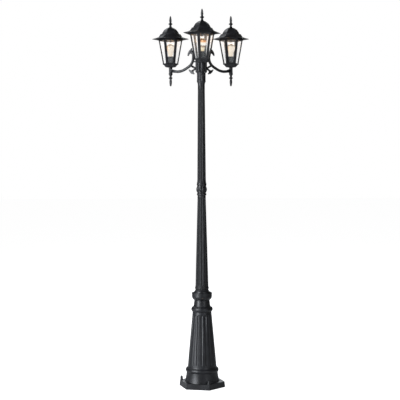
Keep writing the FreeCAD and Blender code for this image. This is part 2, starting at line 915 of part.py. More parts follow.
def column_socket():
    """Short neck that widens into an upturned cup, with a dome that carries the column."""
    body = new_body("column_socket")
    outside = size("base_bore") - size("spigot_fit")
    bore = size("socket_bore")
    neck_radius, neck_top = size("socket_neck_radius"), size("socket_neck_top")
    foot, step = size("socket_foot_radius"), size("socket_step")
    cup, cup_foot, cup_top = size("cup_radius"), size("cup_foot"), size("cup_top")
    lip = (size("cup_lip_radius"), size("cup_lip_height"))
    top = size("socket_height")
    recess = size("cup_recess_height")
    dome = size("socket_dome_radius")
    sweep = (
        between(neck_radius, cup, size("cup_sweep_out")),
        between(neck_top, cup_foot, size("cup_sweep_up")),
    )
    lip_round = (cup - size("cup_lip_round"), between(cup_top, lip[1], size("cup_lip_round_up")))
    dome_round = (dome - size("socket_dome_round"), between(recess, top, size("socket_dome_up")))
    turned(
        body,
        "socket",
        [
            (bore, -size("spigot_depth")),
            (outside, -size("spigot_depth")),
            (outside, ZERO),
            (foot, ZERO),
            (foot, size("socket_step_foot")),
            (foot - step, size("socket_step_top")),
            (neck_radius, neck_top),
            (sweep, (cup, cup_foot)),
            (cup, cup_top),
            (lip_round, (lip[0] + size("cup_lip_width"), lip[1])),
            (lip[0] - size("cup_lip_inset"), lip[1] - size("cup_lip_drop")),
            (size("cup_recess_radius"), recess),
            (dome, recess),
            (dome_round, (size("socket_top_radius"), top)),
            (bore, top),
        ],
    )
    stand(body, SOCKET_FOOT)


def lower_column():
    """Fluted taper with a bead at its foot, which plugs into the socket."""
    body = new_body("lower_column")
    bore = size("lower_bore_foot")
    outside = size("socket_bore") - size("spigot_fit")
    top = size("lower_height")
    shaft_foot = (size("lower_shaft_radius"), size("lower_shaft_foot"))
    top_radius = size("lower_top_radius")
    seat = size("column_bore")
    seat_foot = top - size("spigot_depth") - size("spigot_relief")
    turned(
        body,
        "shaft",
        [
            (bore, -size("spigot_depth")),
            (outside, -size("spigot_depth")),
            (outside, ZERO),
            (size("lower_foot_radius"), ZERO),
            (size("lower_foot_radius"), size("lower_bead_height") - size("lower_bead_rise")),
            ((size("lower_bead_radius"), size("lower_bead_height")), shaft_foot),
            (top_radius, top),
            (seat, top),
            (seat, seat_foot),
            (seat + size("column_bore_step"), seat_foot - size("column_bore_taper")),
        ],
    )
    start = size("lower_flute_start")
    end = top - size("lower_flute_margin")
    fluted(
        body,
        "flute",
        (shaft_foot[0], start),
        (top_radius, end),
        (size("lower_flute_foot_bore"), size("lower_flute_head_bore")),
        (size("lower_flute_foot_depth"), size("lower_flute_head_depth")),
        size("column_flutes"),
    )
    stand(body, LOWER_FOOT)


def mid_coupling():
    """Sleeve that plugs into both columns, with a ring of petals between two beads."""
    body = new_body("mid_coupling")
    top = size("coupling_height")
    depth = size("spigot_depth")
    outside = size("column_bore") - size("spigot_fit")
    bore = outside - size("coupling_wall")
    ring_top = size("coupling_ring_span")
    waist = size("coupling_waist_radius")
    head = top - ring_top
    head_ring = (size("coupling_head_ring_radius"), head + size("coupling_head_ring_rise"))
    head_radius = size("coupling_head_radius")
    turned(
        body,
        "sleeve",
        [
            (bore, -depth),
            (outside, -depth),
            (outside, ZERO),
            (size("coupling_foot_radius"), ZERO),
            (size("coupling_foot_radius"), size("coupling_foot_height")),
            ((size("coupling_ring_radius"), size("coupling_ring_height")), (waist, ring_top)),
            ((size("coupling_core_radius"), top / 2), (size("coupling_neck_radius"), head)),
            (head_ring, (head_radius, top - size("coupling_head_edge"))),
            (head_radius, top),
            (outside, top),
            (outside, top + depth),
            (bore, top + depth),
        ],
    )
    axis, inset = size("petal_axis"), size("petal_inset")
    bulge = (axis + size("petal_radius"), top / 2)
    petal_path = [(axis, ring_top + inset), (bulge, (axis, head - inset))]
    petal = turned(body, "petal", petal_path, axis="Edge1")
    repeated(body, "petals", [petal], size("petals"))
    stand(body, COUPLING_FOOT)


def upper_column():
    """Slimmer fluted taper above the coupling."""
    body = new_body("upper_column")
    top = size("upper_height")
    seat = size("column_bore")
    head_seat = size("necking_bore")
    depth = size("spigot_depth") + size("spigot_relief")
    turned(
        body,
        "shaft",
        [
            (seat, ZERO),
            (size("upper_foot_radius"), ZERO),
            (size("upper_shaft_radius"), size("upper_foot_height")),
            (size("upper_top_radius"), top),
            (head_seat, top),
            (head_seat, top - depth),
            (size("upper_bore_head"), top - depth - size("upper_bore_taper")),
            (seat, depth),
        ],
    )
    fluted(
        body,
        "flute",
        (size("upper_shaft_radius"), size("upper_flute_start")),
        (size("upper_top_radius"), top - size("upper_flute_margin")),
        (size("upper_flute_foot_bore"), size("upper_flute_head_bore")),
        (size("upper_flute_foot_depth"), size("upper_flute_head_depth")),
        size("column_flutes"),
    )
    stand(body, UPPER_FOOT)


def necking_ring():
    """Flared ring and fluted neck between the upper column and the capital."""
    body = new_body("necking_ring")
    top = size("necking_height")
    outside = size("necking_bore") - size("spigot_fit")
    bore = outside - size("necking_wall")
    flare = (size("necking_flare_radius"), size("necking_flare_height"))
    ring = (size("necking_ring_radius"), size("necking_ring_height"))
    ring_top = ring[1] * 2 - flare[1]
    flare_middle = (
        between(size("upper_top_radius"), flare[0], size("necking_flare_out")),
        flare[1] * size("necking_flare_up"),
    )
    neck = size("necking_neck_radius")
    seat = size("capital_spigot")
    seat_foot = top - size("spigot_depth") - size("necking_relief")
    turned(
        body,
        "ring",
        [
            (bore, -size("spigot_depth")),
            (outside, -size("spigot_depth")),
            (outside, ZERO),
            (size("upper_top_radius"), ZERO),
            (flare_middle, flare),
            (ring, (flare[0], ring_top)),
            (neck, ring_top + size("necking_step")),
            (neck, top),
            (seat, top),
            (seat, seat_foot),
            (bore, seat_foot),
        ],
    )
    bore_size = size("neck_flute_bore")
    fluted(
        body,
        "flute",
        (neck, size("neck_flute_start")),
        (neck, top - size("neck_flute_margin")),
        (bore_size, bore_size),
        (size("neck_flute_depth"), size("neck_flute_depth")),
        size("column_flutes"),
    )
    stand(body, NECKING_FOOT)


def capital():
    """Ring of rounded lobes under a plain band, hollow for the splice of the leads."""
    body = new_body("capital")
    top = size("capital_height")
    core = size("capital_core_radius")
    outside = size("capital_spigot") - size("spigot_fit")
    lobe_axis, lobe, foot = size("lobe_axis"), size("lobe_radius"), size("lobe_foot")
    band = lobe_axis + lobe
    band_foot = top - size("band_height")
    spigot = size("spigot_depth")
    round_middle = (core - size("capital_round"), size("capital_round_height"))
    turned(
        body,
        "core",
        [
            (ZERO, -spigot),
            (outside, -spigot),
            (outside, ZERO),
            (size("necking_neck_radius"), ZERO),
            (round_middle, (core, size("capital_round_top"))),
            (core, band_foot),
            (band, band_foot),
            (band, top),
            (ZERO, top),
        ],
    )
    lobe_middle = (lobe_axis + lobe * QUARTER, foot + lobe * (1 - QUARTER))
    lobe_path = [
        (lobe_axis, foot),
        (lobe_middle, (band, foot + lobe)),
        (band, band_foot),
        (lobe_axis, band_foot),
    ]
    one_lobe = turned(body, "lobe", lobe_path, axis="Edge1")
    repeated(body, "lobes", [one_lobe], size("capital_lobes"))
    bore, floor = size("junction_bore"), size("junction_floor")
    turned(
        body,
        "junction_space",
        [
            (ZERO, -spigot),
            (size("cable_bore"), -spigot),
            (size("cable_bore"), floor),
            (bore, floor),
            (bore, top),
            (ZERO, top),
        ],
        cut=True,
    )
    tab_bore = size("tab_radius") + size("tab_fit")
    tab = circle(body, "tab_outline", "YZ_Plane", (ZERO, size("tab_level")), tab_bore)
    tab_hole = raised(body, "tab_hole", tab, band + size("overcut"), cut=True, flip=True)
    repeated(body, "tab_holes", [tab_hole], as_size(len(ARM_AZIMUTHS)))
    stand(body, CAPITAL_FOOT, turn=as_size(ARM_AZIMUTHS["right"]))


def capital_lid():
    """Shallow ogee cover over the capital, clamped by the tie rod's top nut."""
    body = new_body("capital_lid")
    bore = size("rod_radius") + size("rod_fit")
    boss, rim = size("lid_boss_radius"), size("lid_radius")
    top, edge = size("lid_height"), size("lid_edge")
    sweep = (
        between(boss, rim, size("lid_sweep_out")),
        between(edge, top, size("lid_sweep_up")),
    )
    turned(
        body,
        "lid",
        [
            (bore, ZERO),
            (rim, ZERO),
            (rim, edge),
            (sweep, (boss, top)),
            (bore, top),
        ],
    )
    stand(body, CAPITAL_TOP)


def tie_rod():
    """Long rod from the bridge in the base to the lid, which clamps the stack together."""
    rod = document.addObject("Part::Cylinder", "tie_rod")
    bridge_foot = size("bridge_level") - size("bridge_height")
    foot = bridge_foot - size("rod_nut_height") - size("rod_overhang")
    top = CAPITAL_TOP + size("lid_height") + size("rod_nut_height")
    rod.setExpression("Radius", size("rod_radius").text)
    rod.setExpression("Height", (top - foot).text)
    stand(rod, foot)
    nodes.append(rod)


def tie_rod_nuts():
    """The plain nut under the bridge and the cap nut on the lid."""
    radius, height = SIZES["rod_nut_radius"], SIZES["rod_nut_height"]
    bore = SIZES["rod_radius"] + SIZES["rod_fit"]
    overhang = SIZES["rod_overhang"]
    plain = hexagonal_bar(radius, height).cut(Part.makeCylinder(bore, height))
    plain.translate(Vector(0, 0, SIZES["bridge_level"] - SIZES["bridge_height"] - height))
    crown = height + overhang
    dome = spun(
        [
            (0, height),
            (SIZES["rod_cap_radius"], height),
            (SIZES["rod_crown_radius"], crown),
            (0, crown + SIZES["rod_crown_rise"]),
        ]
    )
    cap = hexagonal_bar(radius, height).fuse(dome)
    cap = cap.cut(Part.makeCylinder(bore, height + SIZES["rod_end_gap"]))
    cap.translate(Vector(0, 0, CAPITAL_TOP.value + SIZES["lid_height"]))
    feature_from("tie_rod_nuts", Part.makeCompound([plain, cap]))


# ---- wiring that the post holds ----


def splice():
    """Insulated splice ring round the tie rod, where the supply meets the three leads."""
    body = new_body("lead_splice")
    turned(
        body,
        "ring",
        [
            (size("splice_bore"), ZERO),
            (size("splice_radius"), ZERO),
            (size("splice_radius"), size("splice_height")),
            (size("splice_bore"), size("splice_height")),
        ],
    )
    stand(body, CAPITAL_FOOT + size("junction_floor"))


def supply_cable():
    """Sheathed cable that runs up beside the tie rod, from the terminal block to the splice."""
    cable = document.addObject("Part::Cylinder", "supply_cable")
    foot = size("bridge_level") - size("bridge_height")
    cable.setExpression("Radius", size("cable_radius").text)
    cable.setExpression("Height", (CAPITAL_FOOT + size("junction_floor") - foot).text)
    cable.setExpression("Placement.Base.y", size("cable_offset").text)
    stand(cable, foot)
    nodes.append(cable)


def terminal_block():
    """Block under the bridge, where the incoming supply is joined on site."""
    body = new_body("terminal_block")
    length, height = size("block_length"), size("block_height")
    near = size("rod_nut_radius")
    far = near + size("block_width")
    corners = [(-length / 2, near), (length / 2, near), (length / 2, far), (-length / 2, far)]
    raised(body, "block", outline(body, "block_outline", "XY_Plane", corners), height)
    slot_half = size("block_slot_length") / 2
    slot_foot, slot_head = size("block_slot_foot"), size("block_slot_head")
    slot = outline(
        body,
        "slot_outline",
        "XZ_Plane",
        [
            (-slot_half, slot_foot),
            (slot_half, slot_foot),
            (slot_half, slot_head),
            (-slot_half, slot_head),
        ],
        lift=-far,
    )
    raised(body, "wire_slot", slot, size("block_slot_depth"), cut=True, flip=True)
    stand(body, size("bridge_level") - size("bridge_height") - height)


# ---- arms: modelled along +X, then turned to their azimuths ----


def rounded_route(corners, bends):
    """A wire in the XZ plane through corners, each inner one rounded by a tangent arc."""
    points = [Vector(x, 0, z) for x, z in corners]
    edges = []
    last = points[0]
    for before, corner, after, bend in zip(points, points[1:], points[2:], bends):
        back = (before - corner).normalize()
        ahead = (after - corner).normalize()
        half = back.getAngle(ahead) / 2
        reach = bend / math.tan(half)
        middle = (back + ahead).normalize() * (bend / math.sin(half) - bend)
        enter, leave = corner + back * reach, corner + ahead * reach
        edges.append(Part.makeLine(last, enter))
        edges.append(Part.Arc(enter, corner + middle, leave).toShape())
        last = leave
    edges.append(Part.makeLine(last, points[-1]))
    return Part.Wire(edges)


def ring_at(wire, end, radius):
    """A circle square to a route at its first (0) or last (-1) point."""
    edge = wire.OrderedEdges[end]
    place = edge.FirstParameter if end == 0 else edge.LastParameter
    return Part.Wire(Part.makeCircle(radius, edge.valueAt(place), edge.tangentAt(place)))


def tapered_pipe(wire, first_radius, last_radius):
    rings = [ring_at(wire, 0, first_radius), ring_at(wire, -1, last_radius)]
    return wire.makePipeShell(rings, True, False, 0)


def arm_corners():
    return [
        (SIZES["arm_reach"], SIZES["arm_level"]),
        (SIZES["arm_dip_reach"], SIZES["arm_dip_level"]),
        (SIZES["arm_heel_reach"], SIZES["arm_heel_level"]),
        (SIZES["arm_crook_reach"], SIZES["arm_crook_level"]),
        (SIZES["arm_end_reach"], SIZES["arm_crook_level"]),
    ]


def lead_route(stretch):
    """The lead's way from the splice, out through the tab and along the arm, then up the stem.

    stretch lengthens it at the stem's end.
    """
    dip_reach, dip_level = SIZES["arm_dip_reach"], SIZES["arm_dip_level"]
    heel_reach, heel_level = SIZES["arm_heel_reach"], SIZES["arm_heel_level"]
    short_cut = SIZES["lead_short_cut"]
    splice_top = SIZES["junction_floor"] + SIZES["splice_height"]
    corners = [
        (SIZES["lead_rise"], splice_top),
        (SIZES["lead_rise"], SIZES["tab_level"]),
        (heel_reach, SIZES["tab_level"]),
        (
            heel_reach + (dip_reach - heel_reach) * short_cut,
            heel_level + (dip_level - heel_level) * short_cut,
        ),
        (dip_reach, dip_level),
        (SIZES["arm_reach"], SIZES["arm_level"]),
        (SIZES["arm_reach"], SIZES["boss_top"] + stretch),
    ]
    bends = [
        SIZES["lead_bend"],
        SIZES["lead_tab_bend"],
        SIZES["lead_heel_bend"],
        SIZES["arm_dip_bend"],
        SIZES["lead_bend"],
    ]
    return rounded_route(corners, bends)


def plate(ornament, reach, level):
    """A flat ornament in the XZ plane, centred on it, whose corners a closed spline joins."""
    thickness = SIZES["ornament_thickness"]
    corners = []
    for index in range(len(ORNAMENTS[ornament])):
        out, up = SIZES[f"{ornament}_{index}_out"], SIZES[f"{ornament}_{index}_up"]
        corners.append(Vector(reach + out, -thickness / 2, level + up))
    curve = Part.BSplineCurve()
    curve.interpolate(corners, PeriodicFlag=True)
    face = Part.Face(Part.Wire(curve.toShape()))
    return face.extrude(Vector(0, thickness, 0))


def arm_boss():
    """Turned boss at the arm's end, with a bead at its foot and a lip under the lantern."""
    foot, top = SIZES["boss_foot"], SIZES["boss_top"]
    radius, bead, edge = SIZES["boss_radius"], SIZES["boss_bead_radius"], SIZES["boss_bead_edge"]
    bead_top = foot + SIZES["boss_bead_height"]
    lip = radius + SIZES["boss_lip"]
    lip_foot = top - SIZES["boss_lip_height"]
    boss = spun(
        [
            (0, foot),
            (radius + SIZES["boss_foot_step"], foot),
            (bead, foot + edge),
            (bead, bead_top - edge),
            (radius, bead_top),
            (radius, lip_foot - SIZES["boss_lip_slope"]),
            (lip, lip_foot),
            (lip, top),
            (0, top),
        ]
    )
    boss.translate(Vector(SIZES["arm_reach"], 0, 0))
    return boss


def arm_web():
    """Flat fin that stiffens the arm where it meets the boss."""
    level, face = SIZES["arm_level"], SIZES["arm_reach"] - SIZES["boss_radius"]
    inside = face + SIZES["web_overlap"]
    thickness = SIZES["ornament_thickness"]
    corners = [
        (face - SIZES["web_top_length"], level + SIZES["web_top_rise"]),
        (inside, level + SIZES["web_rise"]),
        (inside, level - SIZES["web_drop"]),
        (face - SIZES["web_length"], level - SIZES["web_tail_drop"]),
    ]
    points = [Vector(x, -thickness / 2, z) for x, z in corners]
    return Part.Face(Part.makePolygon(points + points[:1])).extrude(Vector(0, thickness, 0))


def arm_scroll():
    """Round bar that branches off the arm's heel and curls in towards the capital."""
    reach, level = SIZES["arm_heel_reach"], SIZES["arm_heel_level"]
    wall_face = SIZES["lobe_axis"] + SIZES["lobe_radius"]
    corners = [
        (reach + SIZES["scroll_start_out"], level - SIZES["scroll_start_drop"]),
        (reach + SIZES["scroll_shoulder_out"], level - SIZES["scroll_shoulder_drop"]),
        (wall_face + SIZES["scroll_turn_out"], level - SIZES["scroll_turn_drop"]),
        (reach + SIZES["scroll_end_out"], level - SIZES["scroll_end_drop"]),
    ]
    route = rounded_route(corners, [SIZES["scroll_shoulder_bend"], SIZES["scroll_turn_bend"]])
    return tapered_pipe(route, SIZES["scroll_radius"], SIZES["scroll_radius"])


def arm_solid():
    """Swept arm with its boss, web, leaf, scroll, fishtail and tab, bored for the lead."""
    reach, tab_level = SIZES["arm_reach"], SIZES["tab_level"]
    boss_foot = SIZES["boss_foot"]
    heel_reach = SIZES["arm_heel_reach"]
    bends = [SIZES["arm_dip_bend"], SIZES["arm_heel_bend"], SIZES["arm_crook_bend"]]
    route = rounded_route(arm_corners(), bends)
    sweep = tapered_pipe(route, SIZES["arm_root_radius"], SIZES["arm_end_radius"])
    leaf = plate("leaf", SIZES["arm_end_reach"], SIZES["arm_crook_level"])
    fishtail = plate("fishtail", heel_reach, SIZES["arm_heel_level"])
    tab_start = SIZES["lobe_axis"] + SIZES["lobe_radius"] - SIZES["tab_depth"]
    tab_length = heel_reach + SIZES["tab_overlap"] - tab_start
    along = Vector(1, 0, 0)
    tab = Part.makeCylinder(SIZES["tab_radius"], tab_length, Vector(tab_start, 0, tab_level), along)
    whole = sweep.multiFuse([arm_boss(), arm_web(), leaf, arm_scroll(), fishtail, tab])
    chamber_roof = SIZES["boss_top"] - SIZES["boss_roof"]
    chamber = Part.makeCylinder(
        SIZES["chamber_radius"], chamber_roof - boss_foot, Vector(reach, 0, boss_foot)
    )
    stem_hole = Part.makeCylinder(
        SIZES["stem_radius"] + SIZES["stem_fit"], SIZES["boss_roof"], Vector(reach, 0, chamber_roof)
    )
    wire_way = tapered_pipe(lead_route(0), SIZES["lead_bore"], SIZES["lead_bore"])
    return whole.cut(chamber.fuse([stem_hole, wire_way])).removeSplitter()


def placed_on_post(label, shape, azimuth, height):
    node = feature_from(label, shape)
    node.Placement = Placement(Vector(0, 0, height), Rotation(Vector(0, 0, 1), azimuth))
    return node


def arms_and_leads():
    arm = arm_solid()
    lead = tapered_pipe(lead_route(SIZES["running_gap"]), SIZES["lead_radius"], SIZES["lead_radius"])
    nuts = []
    nut_height = SIZES["tab_nut_height"]
    nut_reach = SIZES["junction_bore"] - nut_height - SIZES["tab_nut_gap"]
    nut_bore = SIZES["tab_radius"] + SIZES["tab_fit"]
    on_tab = Placement(Vector(nut_reach, 0, SIZES["tab_level"]), Rotation(Vector(0, 1, 0), 90))
    for name, azimuth in ARM_AZIMUTHS.items():
        placed_on_post(f"arm_{name}", arm, azimuth, CAPITAL_FOOT.value)
        placed_on_post(f"lead_{name}", lead, azimuth, CAPITAL_FOOT.value)
        nut = hexagonal_bar(SIZES["tab_nut_radius"], nut_height)
        nut = nut.cut(Part.makeCylinder(nut_bore, nut_height))
        turn = Placement(Vector(0, 0, CAPITAL_FOOT.value), Rotation(Vector(0, 0, 1), azimuth))
        nut.Placement = turn.multiply(on_tab)
        nuts.append(nut)
    feature_from("arm_nuts", Part.makeCompound(nuts))


def drop_finial(name, azimuth):
    """Turned drop that plugs the boss from below."""
    body = new_body(f"bottom_finial_{name}")
    length = size("drop_length")
    knop = size("drop_knop_radius")
    knop_level = -size("drop_knop_depth")
    step, step_gap = size("drop_step_radius"), size("drop_step_gap")
    waist_gap = size("drop_waist_gap")
    rim = size("boss_radius") + size("boss_foot_step")
    rim_foot = (size("boss_radius") - size("drop_rim_inset"), -size("drop_rim_foot"))
    plug, plug_height = size("chamber_radius") - size("chamber_fit"), size("drop_plug_height")
    point = (size("drop_point_radius"), -length + size("drop_point_rise"))
    tip = (size("drop_tip_radius"), -length + size("drop_tip_rise"))
    belly = (size("drop_belly_radius"), between(-length, knop_level, size("drop_belly_up")))
    cup = (size("drop_cup_radius"), knop_level + size("drop_cup_gap"))
    turned(
        body,
        "drop",
        [
            (ZERO, -length),
            (point, tip),
            (belly, (size("drop_waist_radius"), knop_level - waist_gap)),
            (step, knop_level - step_gap),
            ((knop, knop_level), (step, knop_level + step_gap)),
            (size("drop_neck_radius"), knop_level + waist_gap),
            (cup, rim_foot),
            (rim, -size("drop_rim_edge")),
            (rim, ZERO),
            (plug, ZERO),
            (plug, plug_height),
            (ZERO, plug_height),
        ],
    )
    stand(body, CAPITAL_FOOT + size("boss_foot"), azimuth, size("arm_reach"))


# ---- lantern: every piece is modelled from the pan's underside, on the lantern's own axis ----


def hang(node, name):
    """Places a lantern's piece over its arm, turned as that lantern stands."""
    turn = size("front_turn") if name == "front" else None
    stand(node, LANTERN_FOOT, ARM_AZIMUTHS[name], size("arm_reach"), turn)


def cage_radius_at(level):
    """Corner radius of the cage's outer face at a height above the pan's underside."""
    rise = size("cage_height") - size("pan_height")
    share = (level - size("pan_height")) / rise
    return between(size("pan_radius"), size("cage_radius"), share)


def cage(name):
    """Hexagonal pan and glazing frame, cast in one."""
    body = new_body(f"cage_{name}")
    pan_top, top = size("pan_height"), size("cage_height")
    wall = size("cage_wall")
    outer = [
        hexagon(body, "pan_foot", size("pan_foot_radius"), ZERO),
        hexagon(body, "pan_head", size("pan_radius"), pan_top),
        hexagon(body, "frame_head", size("cage_radius"), top),
    ]
    lofted(body, "outer", outer)
    band_foot = pan_top + size("pan_band_rise") - size("pan_band_height")
    band = hexagon(body, "band_outline", size("pan_band_radius"), band_foot)
    raised(body, "band", band, size("pan_band_height"))
    rail = hexagon(body, "rail_outline", size("cage_rail_radius"), top - size("cage_rail_height"))
    raised(body, "rail", rail, size("cage_rail_height"))
    inner = [
        hexagon(body, "hollow_foot", size("pan_foot_radius") - wall, size("pan_floor")),
        hexagon(body, "hollow_waist", size("pan_radius") - wall, pan_top),
        hexagon(body, "hollow_head", size("cage_radius") - wall, top),
    ]
    lofted(body, "hollow", inner, cut=True)
    foot, head = size("window_foot"), size("window_head")
    foot_half = cage_radius_at(foot) / 2 - size("bar_width")
    head_half = cage_radius_at(head) / 2 - size("bar_width")
    corners = [(-foot_half, foot), (foot_half, foot), (head_half, head), (-head_half, head)]
    opening = outline(body, "window_outline", "XZ_Plane", corners)
    reach = size("cage_radius") + size("overcut")
    window = raised(body, "window", opening, reach, cut=True, flip=True)
    repeated(body, "windows", [window], HEXAGON_SIDES)
    stem = circle(body, "stem_outline", "XY_Plane", (ZERO, ZERO), size("stem_radius") + size("stem_fit"))
    raised(body, "stem_hole", stem, size("pan_floor") + size("overcut"), cut=True, flip=True)
    hang(body, name)


def pane_funnel(inset):
    """A hexagonal block that follows the cage's slope, set in from its outer face."""
    wires = []
    for level in (
        size("pan_height") + size("glass_end_gap"),
        size("cage_height") - size("glass_end_gap"),
    ):
        wires.append(hexagonal_ring(cage_radius_at(level).value - inset, level.value))
    return Part.makeLoft(wires, True, True)


def glass_panes(name):
    """Six loose panes that stand inside the frame's bars."""
    inset = SIZES["cage_wall"] + SIZES["glass_gap"]
    thickness = SIZES["glass_thickness"] / math.cos(math.pi / 6)
    panes = pane_funnel(inset).cut(pane_funnel(inset + thickness))
    width, joint = SIZES["cage_radius"] * 2, SIZES["glass_joint"]
    sides = int(HEXAGON_SIDES.value)
    for index in range(sides // 2):
        slab = Part.makeBox(width, joint, SIZES["cage_height"], Vector(-width / 2, -joint / 2, 0))
        slab.rotate(Vector(0, 0, 0), Vector(0, 0, 1), 360 / sides * index)
        panes = panes.cut(slab)
    hang(feature_from(f"glass_{name}", panes), name)


def stem(name):
    """Threaded tube that joins the lantern to its arm and takes the lead inside."""
    body = new_body(f"stem_{name}")
    bore, radius, top = size("stem_bore"), size("stem_radius"), size("stem_top")
    foot = -size("running_gap") - size("boss_roof") - size("stem_nut_height") - size("stem_end")
    turned(body, "tube", [(bore, foot), (radius, foot), (radius, top), (bore, top)])
    hang(body, name)


def stem_nuts(name):
    """Lock nut on the pan's floor and the nut that keeps the stem in the boss."""
    height = SIZES["stem_nut_height"]
    bore = SIZES["stem_radius"] + SIZES["stem_nut_fit"]
    upper = hexagonal_bar(SIZES["lock_nut_radius"], height).cut(Part.makeCylinder(bore, height))
    upper.translate(Vector(0, 0, SIZES["pan_floor"]))
    lower = Part.makeCylinder(SIZES["stem_nut_radius"], height).cut(Part.makeCylinder(bore, height))
    lower.translate(Vector(0, 0, -2 * SIZES["running_gap"] - SIZES["boss_roof"] - height))
    hang(feature_from(f"stem_nuts_{name}", Part.makeCompound([upper, lower])), name)


def lamp_holder(name):
    """Ribbed sleeve with a rim, bored for the lamp's cap and recessed over the lock nut."""
    body = new_body(f"lamp_holder_{name}")
    height, radius = size("holder_height"), size("holder_radius")
    rim, rim_foot = size("holder_rim_radius"), size("holder_height") - size("holder_rim_height")
    edge = size("holder_rim_edge")
    recess, recess_top = size("holder_recess_radius"), size("holder_recess_height")
    floor, bore, wire = size("holder_floor"), size("holder_bore"), size("holder_wire_bore")
    turned(
        body,
        "sleeve",
        [
            (recess, ZERO),
            (radius, ZERO),
            (radius, rim_foot),
            (rim, rim_foot),
            (rim, height - edge),
            (rim - edge, height),
            (bore, height),
            (bore, floor),
            (wire, floor),
            (wire, recess_top),
            (recess, recess_top),
        ],
    )
    root, root_half = radius - size("holder_rib_root"), size("holder_rib_width") / 2
    crest, crest_half = rim - size("holder_rib_inset"), size("holder_rib_crest") / 2
    corners = [(root, -root_half), (crest, -crest_half), (crest, crest_half), (root, root_half)]
    rib_foot = size("holder_rib_foot")
    rib_outline = outline(body, "rib_outline", "XY_Plane", corners, lift=rib_foot)
    rib = raised(body, "rib", rib_outline, rim_foot + size("holder_rib_overlap") - rib_foot)
    repeated(body, "ribs", [rib], size("holder_ribs"))
    hang(body, name)
    body.setExpression("Placement.Base.z", (LANTERN_FOOT + size("pan_floor")).text)


THREAD_STEPS = 6


def lamp_cap(name):
    """Screw cap of the lamp, a thin shell with a rounded thread and a centre contact."""
    radius, depth = SIZES["lamp_cap_radius"], SIZES["lamp_thread_depth"]
    root = radius - depth
    foot = SIZES["pan_floor"] + SIZES["holder_floor"] + SIZES["running_gap"]
    top = foot + SIZES["lamp_cap_height"]
    pitch = SIZES["lamp_thread_pitch"]
    thread_foot = foot + SIZES["lamp_thread_rise"]
    points = [
        (0, foot),
        (SIZES["lamp_contact_radius"], foot),
        (SIZES["lamp_button_radius"], foot + SIZES["lamp_button_rise"]),
        (SIZES["lamp_insulator_radius"], foot + SIZES["lamp_insulator_rise"]),
        (root, thread_foot),
    ]
    for index in range(1, SIZES["lamp_thread_turns"] * THREAD_STEPS + 1):
        wave = (1 - math.cos(2 * math.pi * index / THREAD_STEPS)) / 2
        points.append((root + depth * wave, thread_foot + pitch * index / THREAD_STEPS))
    rim = radius - SIZES["lamp_cap_rim"]
    inside = root - SIZES["lamp_cap_wall"]
    points += [
        (rim, top - SIZES["lamp_cap_rim_height"]),
        (rim, top),
        (inside, top),
        (inside, thread_foot + SIZES["lamp_floor_rise"]),
        (0, thread_foot - SIZES["lamp_floor_dip"]),
    ]
    hang(feature_from(f"lamp_cap_{name}", spun(points)), name)


# the globe's arc runs between these two slopes, and arcs of their own close it
SHOULDER_ANGLE = math.radians(-27)
CROWN_ANGLE = math.radians(30)


def lamp_glass(name):
    """Hollow envelope: a round globe that narrows into the neck held by the cap."""
    body = new_body(f"lamp_glass_{name}")
    globe, skin = size("lamp_globe_radius"), size("lamp_glass")
    top, neck = size("lamp_top"), size("lamp_neck_radius")
    centre = top - globe
    cap_top = size("pan_floor") + size("holder_floor") + size("lamp_cap_height")
    neck_foot = cap_top - size("lamp_neck_overlap")
    collar = size("pan_floor") + size("holder_height") + size("lamp_collar_rise")
    inner = globe - skin

    def on_globe(radius, angle):
        return (radius * math.cos(angle), centre + radius * math.sin(angle))

    shoulder, crown = on_globe(globe, SHOULDER_ANGLE), on_globe(globe, CROWN_ANGLE)
    inner_shoulder, inner_crown = on_globe(inner, SHOULDER_ANGLE), on_globe(inner, CROWN_ANGLE)
    bend = (
        between(neck, shoulder[0], size("lamp_bend_out")),
        between(collar, shoulder[1], size("lamp_bend_up")),
    )
    turned(
        body,
        "envelope",
        [
            (neck, neck_foot),
            (neck, collar),
            (bend, shoulder),
            (crown, (ZERO, top)),
            (ZERO, top - skin),
            (inner_crown, inner_shoulder),
            ((bend[0] - skin, bend[1]), (neck - skin, collar)),
            (neck - skin, neck_foot),
        ],
    )
    hang(body, name)


def round_axis(radius, degrees, level):
    angle = math.radians(degrees)
    return Vector(radius * math.cos(angle), radius * math.sin(angle), level)


